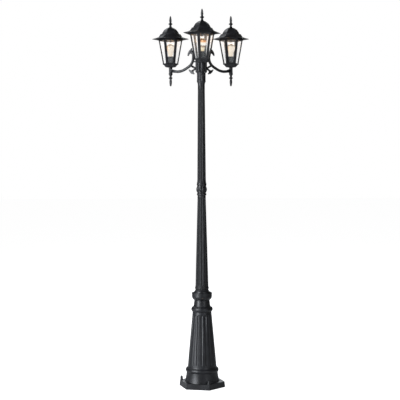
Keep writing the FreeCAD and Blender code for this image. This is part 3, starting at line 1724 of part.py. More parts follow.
def filament(name):
    """Glass mount with a cage of fine strands, each bent out and back to its hub."""
    radius = SIZES["filament_radius"]
    cap_top = SIZES["pan_floor"] + SIZES["holder_floor"] + SIZES["lamp_cap_height"]
    foot = cap_top - SIZES["lamp_neck_overlap"]
    centre = SIZES["lamp_top"] - SIZES["lamp_globe_radius"]
    inside = SIZES["lamp_neck_radius"] - SIZES["lamp_glass"] - SIZES["mount_fit"]
    strand_foot = centre - SIZES["filament_drop"]
    strand_head = centre + SIZES["filament_rise"]
    mount = spun(
        [
            (0, foot),
            (inside, foot),
            (inside, foot + SIZES["mount_edge"]),
            (SIZES["mount_flare_radius"], foot + SIZES["mount_flare_rise"]),
            (SIZES["mount_radius"], strand_foot + SIZES["mount_rise"]),
            (SIZES["mount_waist_radius"], strand_foot + SIZES["mount_waist_rise"]),
            (SIZES["mount_tip_radius"], strand_head),
            (SIZES["mount_hub_radius"], strand_head + SIZES["mount_hub_rise"]),
            (0, strand_head + SIZES["mount_hub_top"]),
        ]
    )
    pieces = [mount]
    count, twist = SIZES["filament_strands"], SIZES["filament_twist"]
    low_level = strand_foot + SIZES["filament_foot_rise"]
    wide_level = (strand_foot + strand_head) / 2
    high_level = strand_head + SIZES["filament_head_rise"]
    for index in range(count):
        angle = 360 / count * index
        low = round_axis(SIZES["filament_foot_radius"], angle, low_level)
        wide = round_axis(SIZES["filament_waist_radius"], angle + twist, wide_level)
        high = round_axis(SIZES["filament_head_radius"], angle + twist * 2, high_level)
        for start, end in ((low, wide), (wide, high)):
            run = end - start
            pieces.append(Part.makeCylinder(radius, run.Length, start, run))
        pieces.append(Part.makeSphere(SIZES["filament_bead_radius"], wide))
    whole = pieces[0].multiFuse(pieces[1:])
    hang(feature_from(f"filament_{name}", whole), name)


ROOF_LEVELS = (
    "brim",
    "sweep",
    "eave",
    "step",
    "shelf",
    "dome_foot",
    "dome_waist",
    "dome_shoulder",
    "dome_crown",
    "apex",
)


def roof(name):
    """Hexagonal hood in one thin shell: swept brim, step and dome, with a skirt inside."""
    body = new_body(f"roof_{name}")
    wall, brim, brim_level = size("roof_wall"), size("brim_radius"), size("brim_level")
    outer = [hexagon(body, "brim_edge", brim, brim_level - wall)]
    inner = [hexagon(body, "brim_underside", brim - wall, brim_level - size("brim_edge"))]
    for level in ROOF_LEVELS:
        radius, height = size(f"{level}_radius"), size(f"{level}_level")
        outer.append(hexagon(body, f"{level}_outline", radius, height))
    for level in ROOF_LEVELS[1:]:
        radius, height = size(f"{level}_radius"), size(f"{level}_level")
        inner.append(hexagon(body, f"{level}_inside", radius - size("roof_inset"), height - wall))
    lofted(body, "hood", outer)
    lofted(body, "hood_inside", inner, cut=True)
    skirt_foot = size("cage_height") + size("running_gap")
    skirt_height = size("roof_skirt_top") - skirt_foot
    skirt = hexagon(body, "skirt_outline", size("roof_skirt_radius"), skirt_foot)
    raised(body, "skirt", skirt, skirt_height)
    inside = size("roof_skirt_radius") - size("roof_skirt_wall")
    overcut = size("roof_skirt_overcut")
    hollow = hexagon(body, "skirt_hollow", inside, skirt_foot - overcut)
    raised(body, "skirt_inside", hollow, skirt_height + overcut, cut=True, flip=True)
    rod_bore = size("roof_rod_radius") + size("roof_rod_fit")
    hole_foot = size("apex_level") - size("roof_rod_hole")
    rod = circle(body, "rod_outline", "XY_Plane", (ZERO, ZERO), rod_bore, hole_foot)
    raised(body, "rod_hole", rod, size("roof_rod_hole") * 2, cut=True, flip=True)
    hang(body, name)


def roof_rod(name):
    """Rod down from the top finial, with a flange under the crown and a knob at its foot."""
    body = new_body(f"roof_rod_{name}")
    radius = size("roof_rod_radius")
    foot, knob = size("roof_rod_foot"), size("roof_rod_knob_radius")
    knob_height, knob_edge = size("roof_rod_knob_height"), knob - size("roof_rod_knob_round")
    flange_top = size("apex_level") - size("roof_wall")
    flange_foot = flange_top - size("roof_rod_flange_height")
    flange = size("apex_radius") - size("roof_rod_flange_inset")
    top = size("apex_level") + size("roof_rod_grip")
    turned(
        body,
        "rod",
        [
            (ZERO, foot),
            (knob_edge, foot),
            ((knob, foot + knob_height / 2), (knob_edge, foot + knob_height)),
            (radius, foot + knob_height),
            (radius, flange_foot),
            (flange, flange_foot),
            (flange, flange_top),
            (radius, flange_top),
            (radius, top),
            (ZERO, top),
        ],
    )
    hang(body, name)


def top_finial(name):
    """Turned spire on the roof: collar, knop and a slender tapering point."""
    body = new_body(f"top_finial_{name}")
    length, knop_level = size("spire_length"), size("spire_knop_level")
    bore = size("roof_rod_radius") + size("roof_rod_fit")
    grip = size("roof_rod_grip") + size("roof_rod_end_gap")
    neck, neck_gap = size("spire_neck_radius"), size("spire_neck_gap")
    step, step_gap = size("spire_step_radius"), size("spire_step_gap")
    foot_middle = (size("spire_foot_radius"), size("spire_foot_level"))
    swell = (size("spire_swell_radius"), knop_level + size("spire_swell_gap"))
    taper = (size("spire_taper_radius"), knop_level + size("spire_taper_gap"))
    point = (size("spire_point_radius"), length - size("spire_point_gap"))
    tip = (size("spire_tip_radius"), length - size("spire_tip_gap"))
    turned(
        body,
        "spire",
        [
            (bore, ZERO),
            (size("apex_radius") - size("spire_foot_inset"), ZERO),
            (foot_middle, (neck, size("spire_neck_level"))),
            (neck, knop_level - neck_gap),
            (step, knop_level - step_gap),
            ((size("spire_knop_radius"), knop_level), (step, knop_level + step_gap)),
            (size("spire_waist_radius"), knop_level + size("spire_waist_gap")),
            (swell, taper),
            (point, tip),
            (ZERO, length),
            (ZERO, grip),
            (bore, grip),
        ],
    )
    hang(body, name)
    body.setExpression("Placement.Base.z", (LANTERN_FOOT + size("apex_level")).text)


LANTERN_PIECES = (
    cage,
    glass_panes,
    stem,
    stem_nuts,
    lamp_holder,
    lamp_cap,
    lamp_glass,
    filament,
    roof,
    roof_rod,
    top_finial,
)


def build():
    base_casting()
    spread_round_anchors("anchor_washers", washer)
    spread_round_anchors("anchor_nuts", cap_nut)
    base_bridge()
    column_socket()
    lower_column()
    mid_coupling()
    upper_column()
    necking_ring()
    capital()
    capital_lid()
    tie_rod()
    tie_rod_nuts()
    splice()
    supply_cable()
    terminal_block()
    arms_and_leads()
    for name, azimuth in ARM_AZIMUTHS.items():
        drop_finial(name, azimuth)
        for piece in LANTERN_PIECES:
            piece(name)
    document.recompute()


def write_parts():
    """Writes each piece to its own file once all of them have been built soundly."""
    for item in document.Objects:
        if "Invalid" in item.State or "Error" in item.State:
            raise RuntimeError(f"{item.Label} didn't build: {item.State}")
    os.makedirs("parts", exist_ok=True)
    for node in nodes:
        shape = node.Shape
        if shape.isNull() or not shape.isValid() or not shape.Solids:
            raise RuntimeError(f"{node.Label} has no sound solid")
        shape.exportStep(f"parts/{node.Label}.step")
    print(len(nodes), "pieces written")


build()
write_parts()
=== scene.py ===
# %% [markdown]
# # Triple head lamp post
# A black cast lamp post with three lanterns stands on a white studio floor. Its shape, its joints
# and its sizes come from the frame, which holds every casting as a piece of its own. This lesson
# gives each piece its finish, adds the fine detail that a casting shows close up, and sets the
# light and the camera.

import bmesh
import bpy
import json
import math
from mathutils import Matrix, Vector


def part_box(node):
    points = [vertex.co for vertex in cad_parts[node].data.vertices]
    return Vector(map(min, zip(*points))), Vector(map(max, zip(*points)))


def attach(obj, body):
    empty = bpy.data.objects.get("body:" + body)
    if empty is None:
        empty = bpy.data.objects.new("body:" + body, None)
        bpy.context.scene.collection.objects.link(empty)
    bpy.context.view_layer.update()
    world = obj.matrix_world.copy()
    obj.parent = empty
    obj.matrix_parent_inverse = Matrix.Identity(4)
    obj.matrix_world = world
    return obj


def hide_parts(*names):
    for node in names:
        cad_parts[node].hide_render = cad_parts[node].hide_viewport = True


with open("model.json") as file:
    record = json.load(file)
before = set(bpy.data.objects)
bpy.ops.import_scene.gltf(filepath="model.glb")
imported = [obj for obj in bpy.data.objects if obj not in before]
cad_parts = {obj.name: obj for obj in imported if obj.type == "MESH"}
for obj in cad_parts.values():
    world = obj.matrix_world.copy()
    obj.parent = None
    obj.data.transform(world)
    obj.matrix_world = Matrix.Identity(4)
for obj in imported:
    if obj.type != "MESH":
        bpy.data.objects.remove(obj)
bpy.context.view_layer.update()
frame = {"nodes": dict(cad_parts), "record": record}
nodes = frame["nodes"]
print(len(nodes), "pieces in the frame")

# %% [markdown]
# ## Writing materials as sums
# A finish is a net of nodes, which is slow to wire up by hand and hard to read back. A wire here
# holds one output of a node. Adding or multiplying wires adds a maths node, so a pattern can be
# written down the way it would be on paper.


# %% wires
class Wire:
    """One value that flows through a net of nodes, with the usual sums."""

    def __init__(self, net, socket):
        self.net = net
        self.socket = socket

    def output(self, name):
        """Another output of the node that this wire leaves."""
        return Wire(self.net, self.socket.node.outputs[name])

    def sum(self, operation, other):
        return self.net.node("ShaderNodeMath", {"operation": operation}, {0: self, 1: other})

    def __add__(self, other):
        return self.sum("ADD", other)

    def __sub__(self, other):
        return self.sum("SUBTRACT", other)

    def __mul__(self, other):
        return self.sum("MULTIPLY", other)

    def __rsub__(self, other):
        return self * -1 + other

    __radd__ = __add__
    __rmul__ = __mul__


class Net:
    """A tree of nodes, with one method for every kind of node."""

    def __init__(self, tree):
        self.tree = tree

    def node(self, kind, settings, inputs, output=0):
        """Makes a node, sets it, fills its inputs with values or wires, and gives an output."""
        made = self.tree.nodes.new(kind)
        for name, value in settings.items():
            setattr(made, name, value)
        self.fill(made, inputs)
        return Wire(self, made.outputs[output])

    def fill(self, made, inputs):
        for name, value in inputs.items():
            if isinstance(value, Wire):
                self.tree.links.new(value.socket, made.inputs[name])
            else:
                made.inputs[name].default_value = value


print("made the wires")

# %% [markdown]
# A paint is the net of one material. Its patterns read Object coordinates, so they stay put on a
# piece when its lantern turns. Colours go through a Mix node, because a maths node would turn
# them grey. The noise stands for everything uneven, and a stretch picks the part of it that shows.


# %% paints
class Paint(Net):
    """The net of one material, with the patterns that this lamp post needs."""

    def __init__(self, name):
        self.material = bpy.data.materials.new(name)
        self.material.use_nodes = True
        super().__init__(self.material.node_tree)
        self.shader = self.tree.nodes["Principled BSDF"]
        self.place = self.node("ShaderNodeTexCoord", {}, {}, "Object")

    def noise(self, scale, detail=3.0, rough=0.55, place=None):
        inputs = {"Vector": place or self.place, "Scale": scale}
        return self.node("ShaderNodeTexNoise", {}, {**inputs, "Detail": detail, "Roughness": rough})

    def stretch(self, value, low, high, to_low, to_high):
        """Eases a value from one range into another."""
        inputs = {0: value, 1: low, 2: high, 3: to_low, 4: to_high}
        return self.node("ShaderNodeMapRange", {"interpolation_type": "SMOOTHSTEP"}, inputs)

    def blend(self, share, first, second):
        settings = {"data_type": "RGBA"}
        return self.node("ShaderNodeMix", settings, {0: share, 6: first, 7: second}, 2)

    def bump(self, height, strength, distance):
        inputs = {"Height": height, "Strength": strength, "Distance": distance}
        return self.node("ShaderNodeBump", {}, inputs)

    def split(self, vector):
        """The three parts of a vector."""
        first = self.node("ShaderNodeSeparateXYZ", {}, {0: vector})
        return first, first.output(1), first.output(2)

    def wave(self, operation, angle):
        return self.node("ShaderNodeMath", {"operation": operation}, {0: angle})

    def finish(self, **inputs):
        """Fills the shader, with an underscore for each space in an input's name."""
        self.fill(self.shader, {name.replace("_", " "): value for name, value in inputs.items()})
        return self.material


print("made the paints")

# %% [markdown]
# ## Powder coat
# The castings wear a black powder coat: a baked skin with a fine orange peel, a little duller in
# broad patches. A flat black would look like a hole in the picture, so the colour varies between
# two near-blacks, the sheen drifts with it, and a small bump breaks up the highlights.
#
# The columns are fluted. Each flute's colour is darkened as painted shade, and its sheen is
# duller, so the ridges keep the highlight. The angle round the post gives that mask: its cosine
# rises in every flute, because the first flute of the casting lies on the x axis.

# %% powder coat
COAT_DARK = (0.0055, 0.0058, 0.0072, 1)
COAT_LIGHT = (0.0095, 0.0099, 0.0125, 1)
# The near-black painted into each flute as shade.
COAT_PAINTED_FLUTE_SHADE = (0.003, 0.003, 0.0036, 1)
FLUTE_DULLING = 0.3


def powder_coat(name, roughness, flutes=0):
    paint = Paint(name)
    peel = paint.noise(900.0, 2.0)
    patch = paint.noise(14.0, 4.0)
    colour = paint.blend(paint.stretch(patch, 0.35, 0.65, 0.0, 1.0), COAT_DARK, COAT_LIGHT)
    sheen = paint.stretch(patch, 0.3, 0.7, roughness - 0.05, roughness + 0.06)
    if flutes:
        across, along, _ = paint.split(paint.place)
        turn = paint.node("ShaderNodeMath", {"operation": "ARCTAN2"}, {0: along, 1: across})
        flute_shade_mask = paint.stretch(paint.wave("COSINE", turn * flutes), -0.7, 0.1, 0.0, 1.0)
        sheen = sheen + flute_shade_mask * FLUTE_DULLING
        # Painted shade: the colour darkens in each flute.
        colour = paint.blend(flute_shade_mask, colour, COAT_PAINTED_FLUTE_SHADE)
    return paint.finish(
        Base_Color=colour,
        Roughness=sheen,
        Normal=paint.bump(peel, 0.35, 0.0006),
        Specular_IOR_Level=0.5,
        IOR=1.5,
    )


coat = powder_coat("powder_coat", 0.4)
fluted_coat = powder_coat("fluted_coat", 0.36, flutes=12.0)
print("made", coat.name, "and", fluted_coat.name)

# %% [markdown]
# ## Fittings
# The lamps' screw caps are nickel plate, the lanterns' stems and their nuts are brass, the holders
# are a black moulding and the terminal block is a white one. Metal takes its colour from the base
# colour alone, so a streaky noise in it and in the roughness is enough to look drawn or turned. A
# moulding gets a fine grain with a slight bump.


# %% metals and plastics
def darker(colour, share):
    return [channel * share for channel in colour[:3]] + [1]


def metal(name, colour, roughness, grain):
    paint = Paint(name)
    streak = paint.noise(grain, 5.0)
    return paint.finish(
        Base_Color=paint.blend(streak, colour, darker(colour, 0.8)),
        Metallic=1.0,
        Roughness=paint.stretch(streak, 0.3, 0.7, roughness, roughness + 0.15),
    )


def plastic(name, colour, roughness):
    paint = Paint(name)
    grain = paint.noise(600.0, 2.0)
    tint = paint.blend(grain, colour, darker(colour, 0.85))
    return paint.finish(Base_Color=tint, Roughness=roughness, Normal=paint.bump(grain, 0.2, 0.0003))


brass = metal("turned_brass", (0.72, 0.55, 0.24, 1), 0.3, 240.0)
nickel = metal("nickel_plate", (0.72, 0.71, 0.68, 1), 0.22, 200.0)
moulded_black = plastic("moulded_black", (0.018, 0.018, 0.018, 1), 0.5)
moulded_white = plastic("moulded_white", (0.78, 0.77, 0.72, 1), 0.45)
sheath = plastic("cable_sheath", (0.03, 0.03, 0.03, 1), 0.55)
print("made two metals and three plastics")

# %% [markdown]
# ## Glass
# The panes are clear and thin. Real refraction through two faces of thin glass bends nothing that
# can be seen, and it makes the inside dark and noisy, so a low alpha does better: a few per cent
# of pale glass, uneven like rolled sheet, under a coat that keeps the reflections.
#
# The lamp's globe is glass too. It is clear when seen straight on and shows at its rim, which the
# Facing output of Layer Weight gives.


# %% panes and globes
def pane_glass():
    paint = Paint("pane_glass")
    ripple = paint.noise(18.0, 1.0)
    return paint.finish(
        Base_Color=paint.blend(ripple, (0.98, 0.99, 0.99, 1), (0.93, 0.96, 0.96, 1)),
        Roughness=0.05,
        Alpha=paint.stretch(ripple, 0.3, 0.7, 0.03, 0.07),
        Coat_Weight=0.5,
    )


def lamp_skin():
    paint = Paint("lamp_skin")
    swirl = paint.noise(60.0, 2.0)
    rim = paint.node("ShaderNodeLayerWeight", {}, {"Blend": 0.25}, "Facing")
    return paint.finish(
        Base_Color=paint.blend(swirl, (0.30, 0.29, 0.27, 1), (0.38, 0.36, 0.33, 1)),
        Roughness=0.08,
        Alpha=paint.stretch(rim, 0.2, 1.0, 0.04, 0.75),
    )


panes, globes = pane_glass(), lamp_skin()
print("made", panes.name, "and", globes.name)

# %% [markdown]
# ## Glowing strands
# A lit lamp is brighter than white in a picture, yet a strong emission would clip to a blank
# disc. So the strands glow just at white, in a warm colour that drifts a little along them.


# %% strands
def glowing_wire():
    paint = Paint("lamp_wire")
    swirl = paint.noise(200.0, 1.0)
    return paint.finish(
        Base_Color=(1.0, 0.8, 0.5, 1),
        Emission_Color=paint.blend(swirl, (1.0, 0.78, 0.42, 1), (1.0, 0.88, 0.6, 1)),
        Emission_Strength=1.0,
    )


strands = glowing_wire()
print("made", strands.name)

# %% [markdown]
# ## Lit haze
# The light of the strands fills the globe. A volume could do that but would be grainy, so a body
# inside the globe gets a paint whose colours are written as they should look. It is coloured by
# height and turns amber at one flank, with faint upright stripes for the strands. The near lamp
# is seen more closely: it has a cream foot, a brown waist, a white heart and an orange crown.

# %% haze paint
AMBER = (0.72, 0.34, 0.12, 1)
STRIPES = 16.0
FADE_SPAN = 0.3


def lamp_haze(name, levels, fade):
    """Haze with a colour for each share of its height, clear from the fade upwards."""
    paint = Paint(name)
    around = paint.node("ShaderNodeAttribute", {"attribute_name": "around"}, {}, "Vector")
    across, up, turn = paint.split(around)
    stripe = paint.wave("SINE", turn * STRIPES)
    height = up + (paint.noise(3.0, 2.0, 0.5, around) - 0.5) * 0.25
    body = levels[0][1]
    for (low, _), (high, colour) in zip(levels, levels[1:]):
        body = paint.blend(paint.stretch(height, low, high, 0.0, 1.0), body, colour)
    flank = paint.stretch(across * -1.0 + stripe * 0.06, 0.42, 0.9, 0.0, 1.0)
    return paint.finish(
        Base_Color=(0.2, 0.17, 0.12, 1),
        Roughness=0.6,
        Specular_IOR_Level=0.0,
        Emission_Color=paint.blend(flank, body, AMBER),
        Emission_Strength=0.95,
        Alpha=paint.stretch(up + stripe * 0.04, fade, fade + FADE_SPAN, 1.0, 0.0),
    )


CREAM = [(0.0, (0.78, 0.66, 0.52, 1)), (0.5, (0.93, 0.83, 0.70, 1))]
EMBER = [
    (0.0, (0.72, 0.58, 0.36, 1)),
    (0.22, (0.86, 0.76, 0.56, 1)),
    (0.36, (0.22, 0.12, 0.06, 1)),
    (0.50, (1.0, 0.97, 0.9, 1)),
    (0.60, (1.0, 0.94, 0.82, 1)),
    (0.74, (0.84, 0.30, 0.05, 1)),
]
far_haze = lamp_haze("lamp_haze", CREAM, 0.68)
near_haze = lamp_haze("near_lamp_haze", EMBER, 0.64)
HAZES = {"right": far_haze, "left": far_haze, "front": near_haze}
print("made", far_haze.name, "and", near_haze.name)

# %% [markdown]
# ## Painting the pieces
# The record gives every piece of the frame a material slot. One table turns slots into finishes,
# so no piece can be forgotten. The steel washers are black with the castings they sit on, so all
# the steel wears their coat.

# %% painting
FINISHES = {
    "coated_casting": coat,
    "coated_steel": coat,
    "plain_steel": coat,
    "brass_fitting": brass,
    "pane_glass": panes,
    "lamp_glass": globes,
    "lamp_metal": nickel,
    "lamp_wire": strands,
    "holder_plastic": moulded_black,
    "insulating_plastic": moulded_white,
    "cable_sheath": sheath,
}
for entry in frame["record"]["subparts"]:
    painted = nodes[entry["node"]].data.materials
    painted.clear()
    painted.append(FINISHES[entry["material_slot"]])
for name in ("lower_column", "upper_column"):
    nodes[name].data.materials[0] = fluted_coat
print("painted", len(nodes), "pieces")

# %% [markdown]
# ## A kit for fine detail
# Two shapes make nearly all the detail on this post: a round bar that follows a line, and a half
# outline spun round an upright axis. Curves with a bevel could make the bars too, but bmesh keeps
# each one a plain closed mesh at the origin, which is how the frame's own pieces are kept. Each
# new piece rides on the body it is fixed to.

# %% places
LANTERNS = {"front": 10.5, "right": 0.0, "left": 0.0}  # how far each one is turned, in degrees


def axis_of(node):
    """The upright axis of a piece and its lowest and highest level."""
    low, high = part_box(node)
    return Vector(((low[0] + high[0]) / 2, (low[1] + high[1]) / 2, 0)), low[2], high[2]


def hexagon_corner(axis, radius, level, side, turn):
    angle = math.radians(60 * side + turn)
    return axis + Vector((radius * math.cos(angle), radius * math.sin(angle), level))


for name in LANTERNS:
    middle, low, high = axis_of(f"cage_{name}")
    print(name, "lantern's cage stands from", round(low, 4), "to", round(high, 4), "m")

# %% [markdown]
# A mesh's faces have to point outwards before it is kept, because a spin or a bridge may leave
# them turned in. The new piece then joins the scene, rides on its body and gets its slot.


# %% pieces
def piece_from(form, name, body, slot, smooth=True):
    """Turns a finished bmesh into a named piece that rides on a body."""
    bmesh.ops.recalc_face_normals(form, faces=form.faces)
    for face in form.faces:
        face.smooth = smooth
    mesh = bpy.data.meshes.new(name)
    form.to_mesh(mesh)
    form.free()
    piece = bpy.data.objects.new(name, mesh)
    bpy.context.scene.collection.objects.link(piece)
    piece.data.materials.append(FINISHES[slot])
    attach(piece, body)
    return piece


print("made the pieces")

# %% [markdown]
# A bar starts as one circle at each point of its line, square to the way it runs there. Bridging
# each circle to the next makes the skin, and a face over each end closes it. A line that comes
# back to its start is bridged there instead.


# %% bars
def ring_edges(form, ring):
    """The edges between the corners of a ring, in order."""
    return [form.edges.get(pair) for pair in zip(ring, ring[1:] + ring[:1])]


def add_tube(form, points, radius, sides=8, closed=False):
    """A round bar through points, with flat ends unless it closes on itself."""
    points = [Vector(point) for point in points]
    last = len(points) - 1
    rings = []
    for index, point in enumerate(points):
        before = points[index - 1] if closed or index else point
        after = points[(index + 1) % len(points)] if closed or index < last else point
        turn = (after - before).to_track_quat("Z", "Y").to_matrix().to_4x4()
        place = Matrix.Translation(point) @ turn
        made = bmesh.ops.create_circle(form, segments=sides, radius=radius, matrix=place)
        rings.append(made["verts"])
    following = rings[1:] + rings[:1] if closed else rings[1:]
    for first, second in zip(rings, following):
        skin = ring_edges(form, first) + ring_edges(form, second)
        bmesh.ops.bridge_loops(form, edges=skin)
    if not closed:
        for ring in (rings[0], rings[-1]):
            bmesh.ops.contextual_create(form, geom=ring_edges(form, ring))


print("made the bars")

# %% [markdown]
# Turned work is drawn as half of its outline, from the axis or the foot upwards, and spun once
# round. A full spin merges its last step with its first, and an outline that starts or ends on
# the axis leaves a bunch of corners at the pole, which are merged as well.

# %% turned work
MERGE_WITHIN = 0.00001


def add_spun(form, profile, axis, steps=32):
    """A half outline of (radius, level) corners spun round an upright axis."""
    verts = [form.verts.new(axis + Vector((radius, 0, level))) for radius, level in profile]
    edges = [form.edges.new(pair) for pair in zip(verts, verts[1:])]
    full = {"cent": axis, "axis": (0, 0, 1), "angle": 2 * math.pi, "use_merge": True}
    bmesh.ops.spin(form, geom=verts + edges, steps=steps, **full)
    bmesh.ops.remove_doubles(form, verts=form.verts, dist=MERGE_WITHIN)


print("made the turned work")

# %% [markdown]
# ## Haze in the lamps
# The haze paint needs a surface to live on. It is a body of its own, a hair inside the globe and
# spun to the same outline, so nothing shows between the two. It carries an attribute with the
# place of each corner across, up and round the lamp, which its paint reads.

# %% lamp haze
GLOBE_RADIUS = 0.0275
HAZE_RADIUS = 0.0258
HALF_WIDTH = 0.026
for name in LANTERNS:
    axis, _, top = axis_of(f"lamp_glass_{name}")
    centre = top - GLOBE_RADIUS
    holder_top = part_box(f"lamp_holder_{name}")[1][2]
    outline = [(0.0085, holder_top + 0.0005), (0.0125, holder_top + 0.006)]
    outline += [(0.0175, centre - 0.0185)]
    for degrees in range(-35, 91, 12):
        angle = math.radians(degrees)
        outline.append((HAZE_RADIUS * math.cos(angle), centre + HAZE_RADIUS * math.sin(angle)))
    outline.append((0.0, centre + HAZE_RADIUS))
    form = bmesh.new()
    add_spun(form, outline, axis, 48)
    piece = piece_from(form, f"lamp_haze_{name}", f"lamp_{name}", "lamp_glass")
    piece.data.materials[0] = HAZES[name]
    around = piece.data.attributes.new("around", "FLOAT_VECTOR", "POINT")
    haze_foot, haze_height = outline[0][1], outline[-1][1] - outline[0][1]
    for vert in piece.data.vertices:
        out = vert.co - axis
        height = (vert.co.z - haze_foot) / haze_height
        around.data[vert.index].vector = (out.x / HALF_WIDTH, height, math.atan2(out.y, out.x))
print("lit three lamps,", len(outline), "corners in each outline")

# %% [markdown]
# ## Ridges on the hoods
# A cast hood has a raised ridge along each hip, and a rolled rim round its brim, its shoulder and
# the ledge under its dome. They catch the light and draw the hood's outline. The frame's hood is
# plain there, so thin bars follow its hips and its hexagons, half sunk in its skin. Each corner
# of a hip is a radius and a level above the foot of the cage, and a rim adds its thickness.

# %% hood trim
HIP = [(0.1120, 0.1745), (0.0880, 0.1803), (0.0735, 0.1858), (0.0665, 0.1948), (0.0615, 0.2028)]
HIP += [(0.0525, 0.2053), (0.0478, 0.2163), (0.0375, 0.2303), (0.0235, 0.2398), (0.0122, 0.2452)]
HIP_THICKNESS = 0.0011
RIMS = [(0.1116, 0.1738, 0.0014), (0.0668, 0.1945, 0.0012), (0.0616, 0.2031, 0.0018)]
for name, turn in LANTERNS.items():
    axis, foot, _ = axis_of(f"cage_{name}")
    form = bmesh.new()
    for side in range(6):
        hip = [hexagon_corner(axis, radius, foot + level, side, turn) for radius, level in HIP]
        add_tube(form, hip, HIP_THICKNESS, 6)
    for radius, level, thickness in RIMS:
        rim = [hexagon_corner(axis, radius, foot + level, side, turn) for side in range(6)]
        add_tube(form, rim, thickness, 6, closed=True)
    piece_from(form, f"hood_trim_{name}", f"roof_{name}", "coated_casting")
print("trimmed three hoods with", 6 + len(RIMS), "bars each")

# %% [markdown]
# ## Lines for the arms
# Each arm is a casting in one plane, drawn here in millimetres out from the post and up from the
# foot of the capital. Its runs are straight with rounded bends, and its leaf and fishtail are
# smooth closed outlines. A bend is a curve between the points where it leaves each run, and a
# smooth outline passes through all its corners.


# %% lines
def rounded(corners, bends, steps=8):
    """Points along straight runs whose inner corners are rounded."""
    corners = [Vector((x, 0, z)) for x, z in corners]
    points = [corners[0]]
    for before, corner, after, bend in zip(corners, corners[1:], corners[2:], bends):
        back, ahead = (before - corner).normalized(), (after - corner).normalized()
        reach = bend / math.tan(back.angle(ahead) / 2)
        enter, leave = corner + back * reach, corner + ahead * reach
        for step in range(steps + 1):
            share = step / steps
            near, far = enter.lerp(corner, share), corner.lerp(leave, share)
            points.append(near.lerp(far, share))
    return points + [corners[-1]]


def smoothed(corners, steps=4):
    """A closed smooth line through corners."""
    corners = [Vector((x, 0, z)) for x, z in corners]
    count = len(corners)
    points = []
    for index in range(count):
        a, b, c, d = (corners[(index + shift) % count] for shift in (-1, 0, 1, 2))
        for step in range(steps):
            t = step / steps
            curve = b * 2 + (c - a) * t + (a * 2 - b * 5 + c * 4 - d) * t * t
            points.append((curve + (b * 3 - a - c * 3 + d) * t * t * t) / 2)
    return points


SWEEP = rounded([(208, 19.2), (143, 10.8), (55, 58), (55.8, 129), (76, 129)], [110, 68, 17])
SCROLL = rounded([(80, 50.5), (60, 40.5), (38, 29.5), (62, 13.5)], [20, 8.5])
print(len(SWEEP), "points along the arm and", len(SCROLL), "along its scroll")

# %% [markdown]
# ## Arm mouldings
# A real arm is a stout round bar, and its leaf and fishtail are rimmed. The frame's arm is a
# slimmer bar with a flat leaf and a flat fishtail, so round bars laid over its runs and round the
# two outlines bring it up to its weight. All three arms are one casting, turned about the post.

# %% arm mouldings
MM = 0.001
ARMS = {"front": 270.0, "right": 30.0, "left": 150.0}  # the side each arm points to, in degrees
ARM_BAR, SCROLL_BAR, RIM_BAR = 0.0084, 0.0062, 0.0030
CAPITAL_HEIGHT = 0.080
LEAF = [(61, 118), (60, 132), (64, 141), (67, 153), (72, 146), (79, 142), (86, 133)]
LEAF += [(91.5, 123), (93, 110), (88, 113), (83, 119.5), (76, 124), (69, 124), (65, 119)]
FISHTAIL = [(86, 22.5), (80, 18.5), (73, 16.5), (66, 16), (60, 18.5), (57, 13.5), (56, 4.5)]
FISHTAIL += [(49.5, -4.5), (56, -3), (64, -1.5), (71, 2.5), (78, 9.5)]
capital_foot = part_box("capital_lid")[0][2] - CAPITAL_HEIGHT
to_metres = Matrix.Translation((0, 0, capital_foot)) @ Matrix.Scale(MM, 4)
for name, azimuth in ARMS.items():
    laid = to_metres @ Matrix.Rotation(math.radians(azimuth), 4, "Z")
    form = bmesh.new()
    add_tube(form, [laid @ point for point in SWEEP], ARM_BAR, 12)
    add_tube(form, [laid @ point for point in SCROLL], SCROLL_BAR, 10)
    for outline in (LEAF, FISHTAIL):
        add_tube(form, [laid @ point for point in smoothed(outline)], RIM_BAR, 8, closed=True)
    piece_from(form, f"arm_moulding_{name}", "post", "coated_casting")
print("moulded three arms above", round(capital_foot, 4), "m")

# %% [markdown]
# ## Turned finials
# Each hood ends in a spire and each arm in a drop, both turned with thin necks and sharp collars.
# The frame's finials have the same heights with fewer curves, so these take their place. The
# outlines are in millimetres, radius first and then height.

# %% turned finials
SPIRE = [(10.5, 0), (8.6, 3.6), (7.2, 6.5), (6.6, 9.5), (6.4, 15), (8.4, 17), (11.4, 19)]
SPIRE += [(12.6, 22), (11.4, 25), (8.4, 27), (6.0, 30), (6.8, 35), (7.7, 42), (7.0, 50)]
SPIRE += [(5.9, 58), (4.6, 65), (2.6, 70.6), (0, 72)]
DROP = [(0, 0), (3.2, 0.8), (5.0, 3), (7.0, 14), (8.0, 26), (7.6, 35), (6.4, 43), (7.4, 46)]
DROP += [(10.8, 48), (12.2, 51), (10.8, 54), (7.4, 56), (6.0, 59), (6.8, 64), (9.8, 69)]
DROP += [(11.6, 72), (12.0, 74), (11.6, 75.8)]
for name in LANTERNS:
    for kind, body, profile in (("top", f"roof_{name}", SPIRE), ("bottom", "post", DROP)):
        axis, foot, _ = axis_of(f"{kind}_finial_{name}")
        form = bmesh.new()
        add_spun(form, [(radius * MM, foot + height * MM) for radius, height in profile], axis, 28)
        piece = piece_from(form, f"{kind}_turning_{name}", body, "coated_casting")
        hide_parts(f"{kind}_finial_{name}")
print("turned six finials")

# %% [markdown]
# ## Anchor nuts
# Three domed nuts hold the flange to its bolts. Each is a short six-sided prism, tapered a touch
# so that its edges catch light, with a rounded cap turned on top. One piece holds all three, as
# the frame's own nuts do, and takes their place. The cap's levels count from the washers' tops.

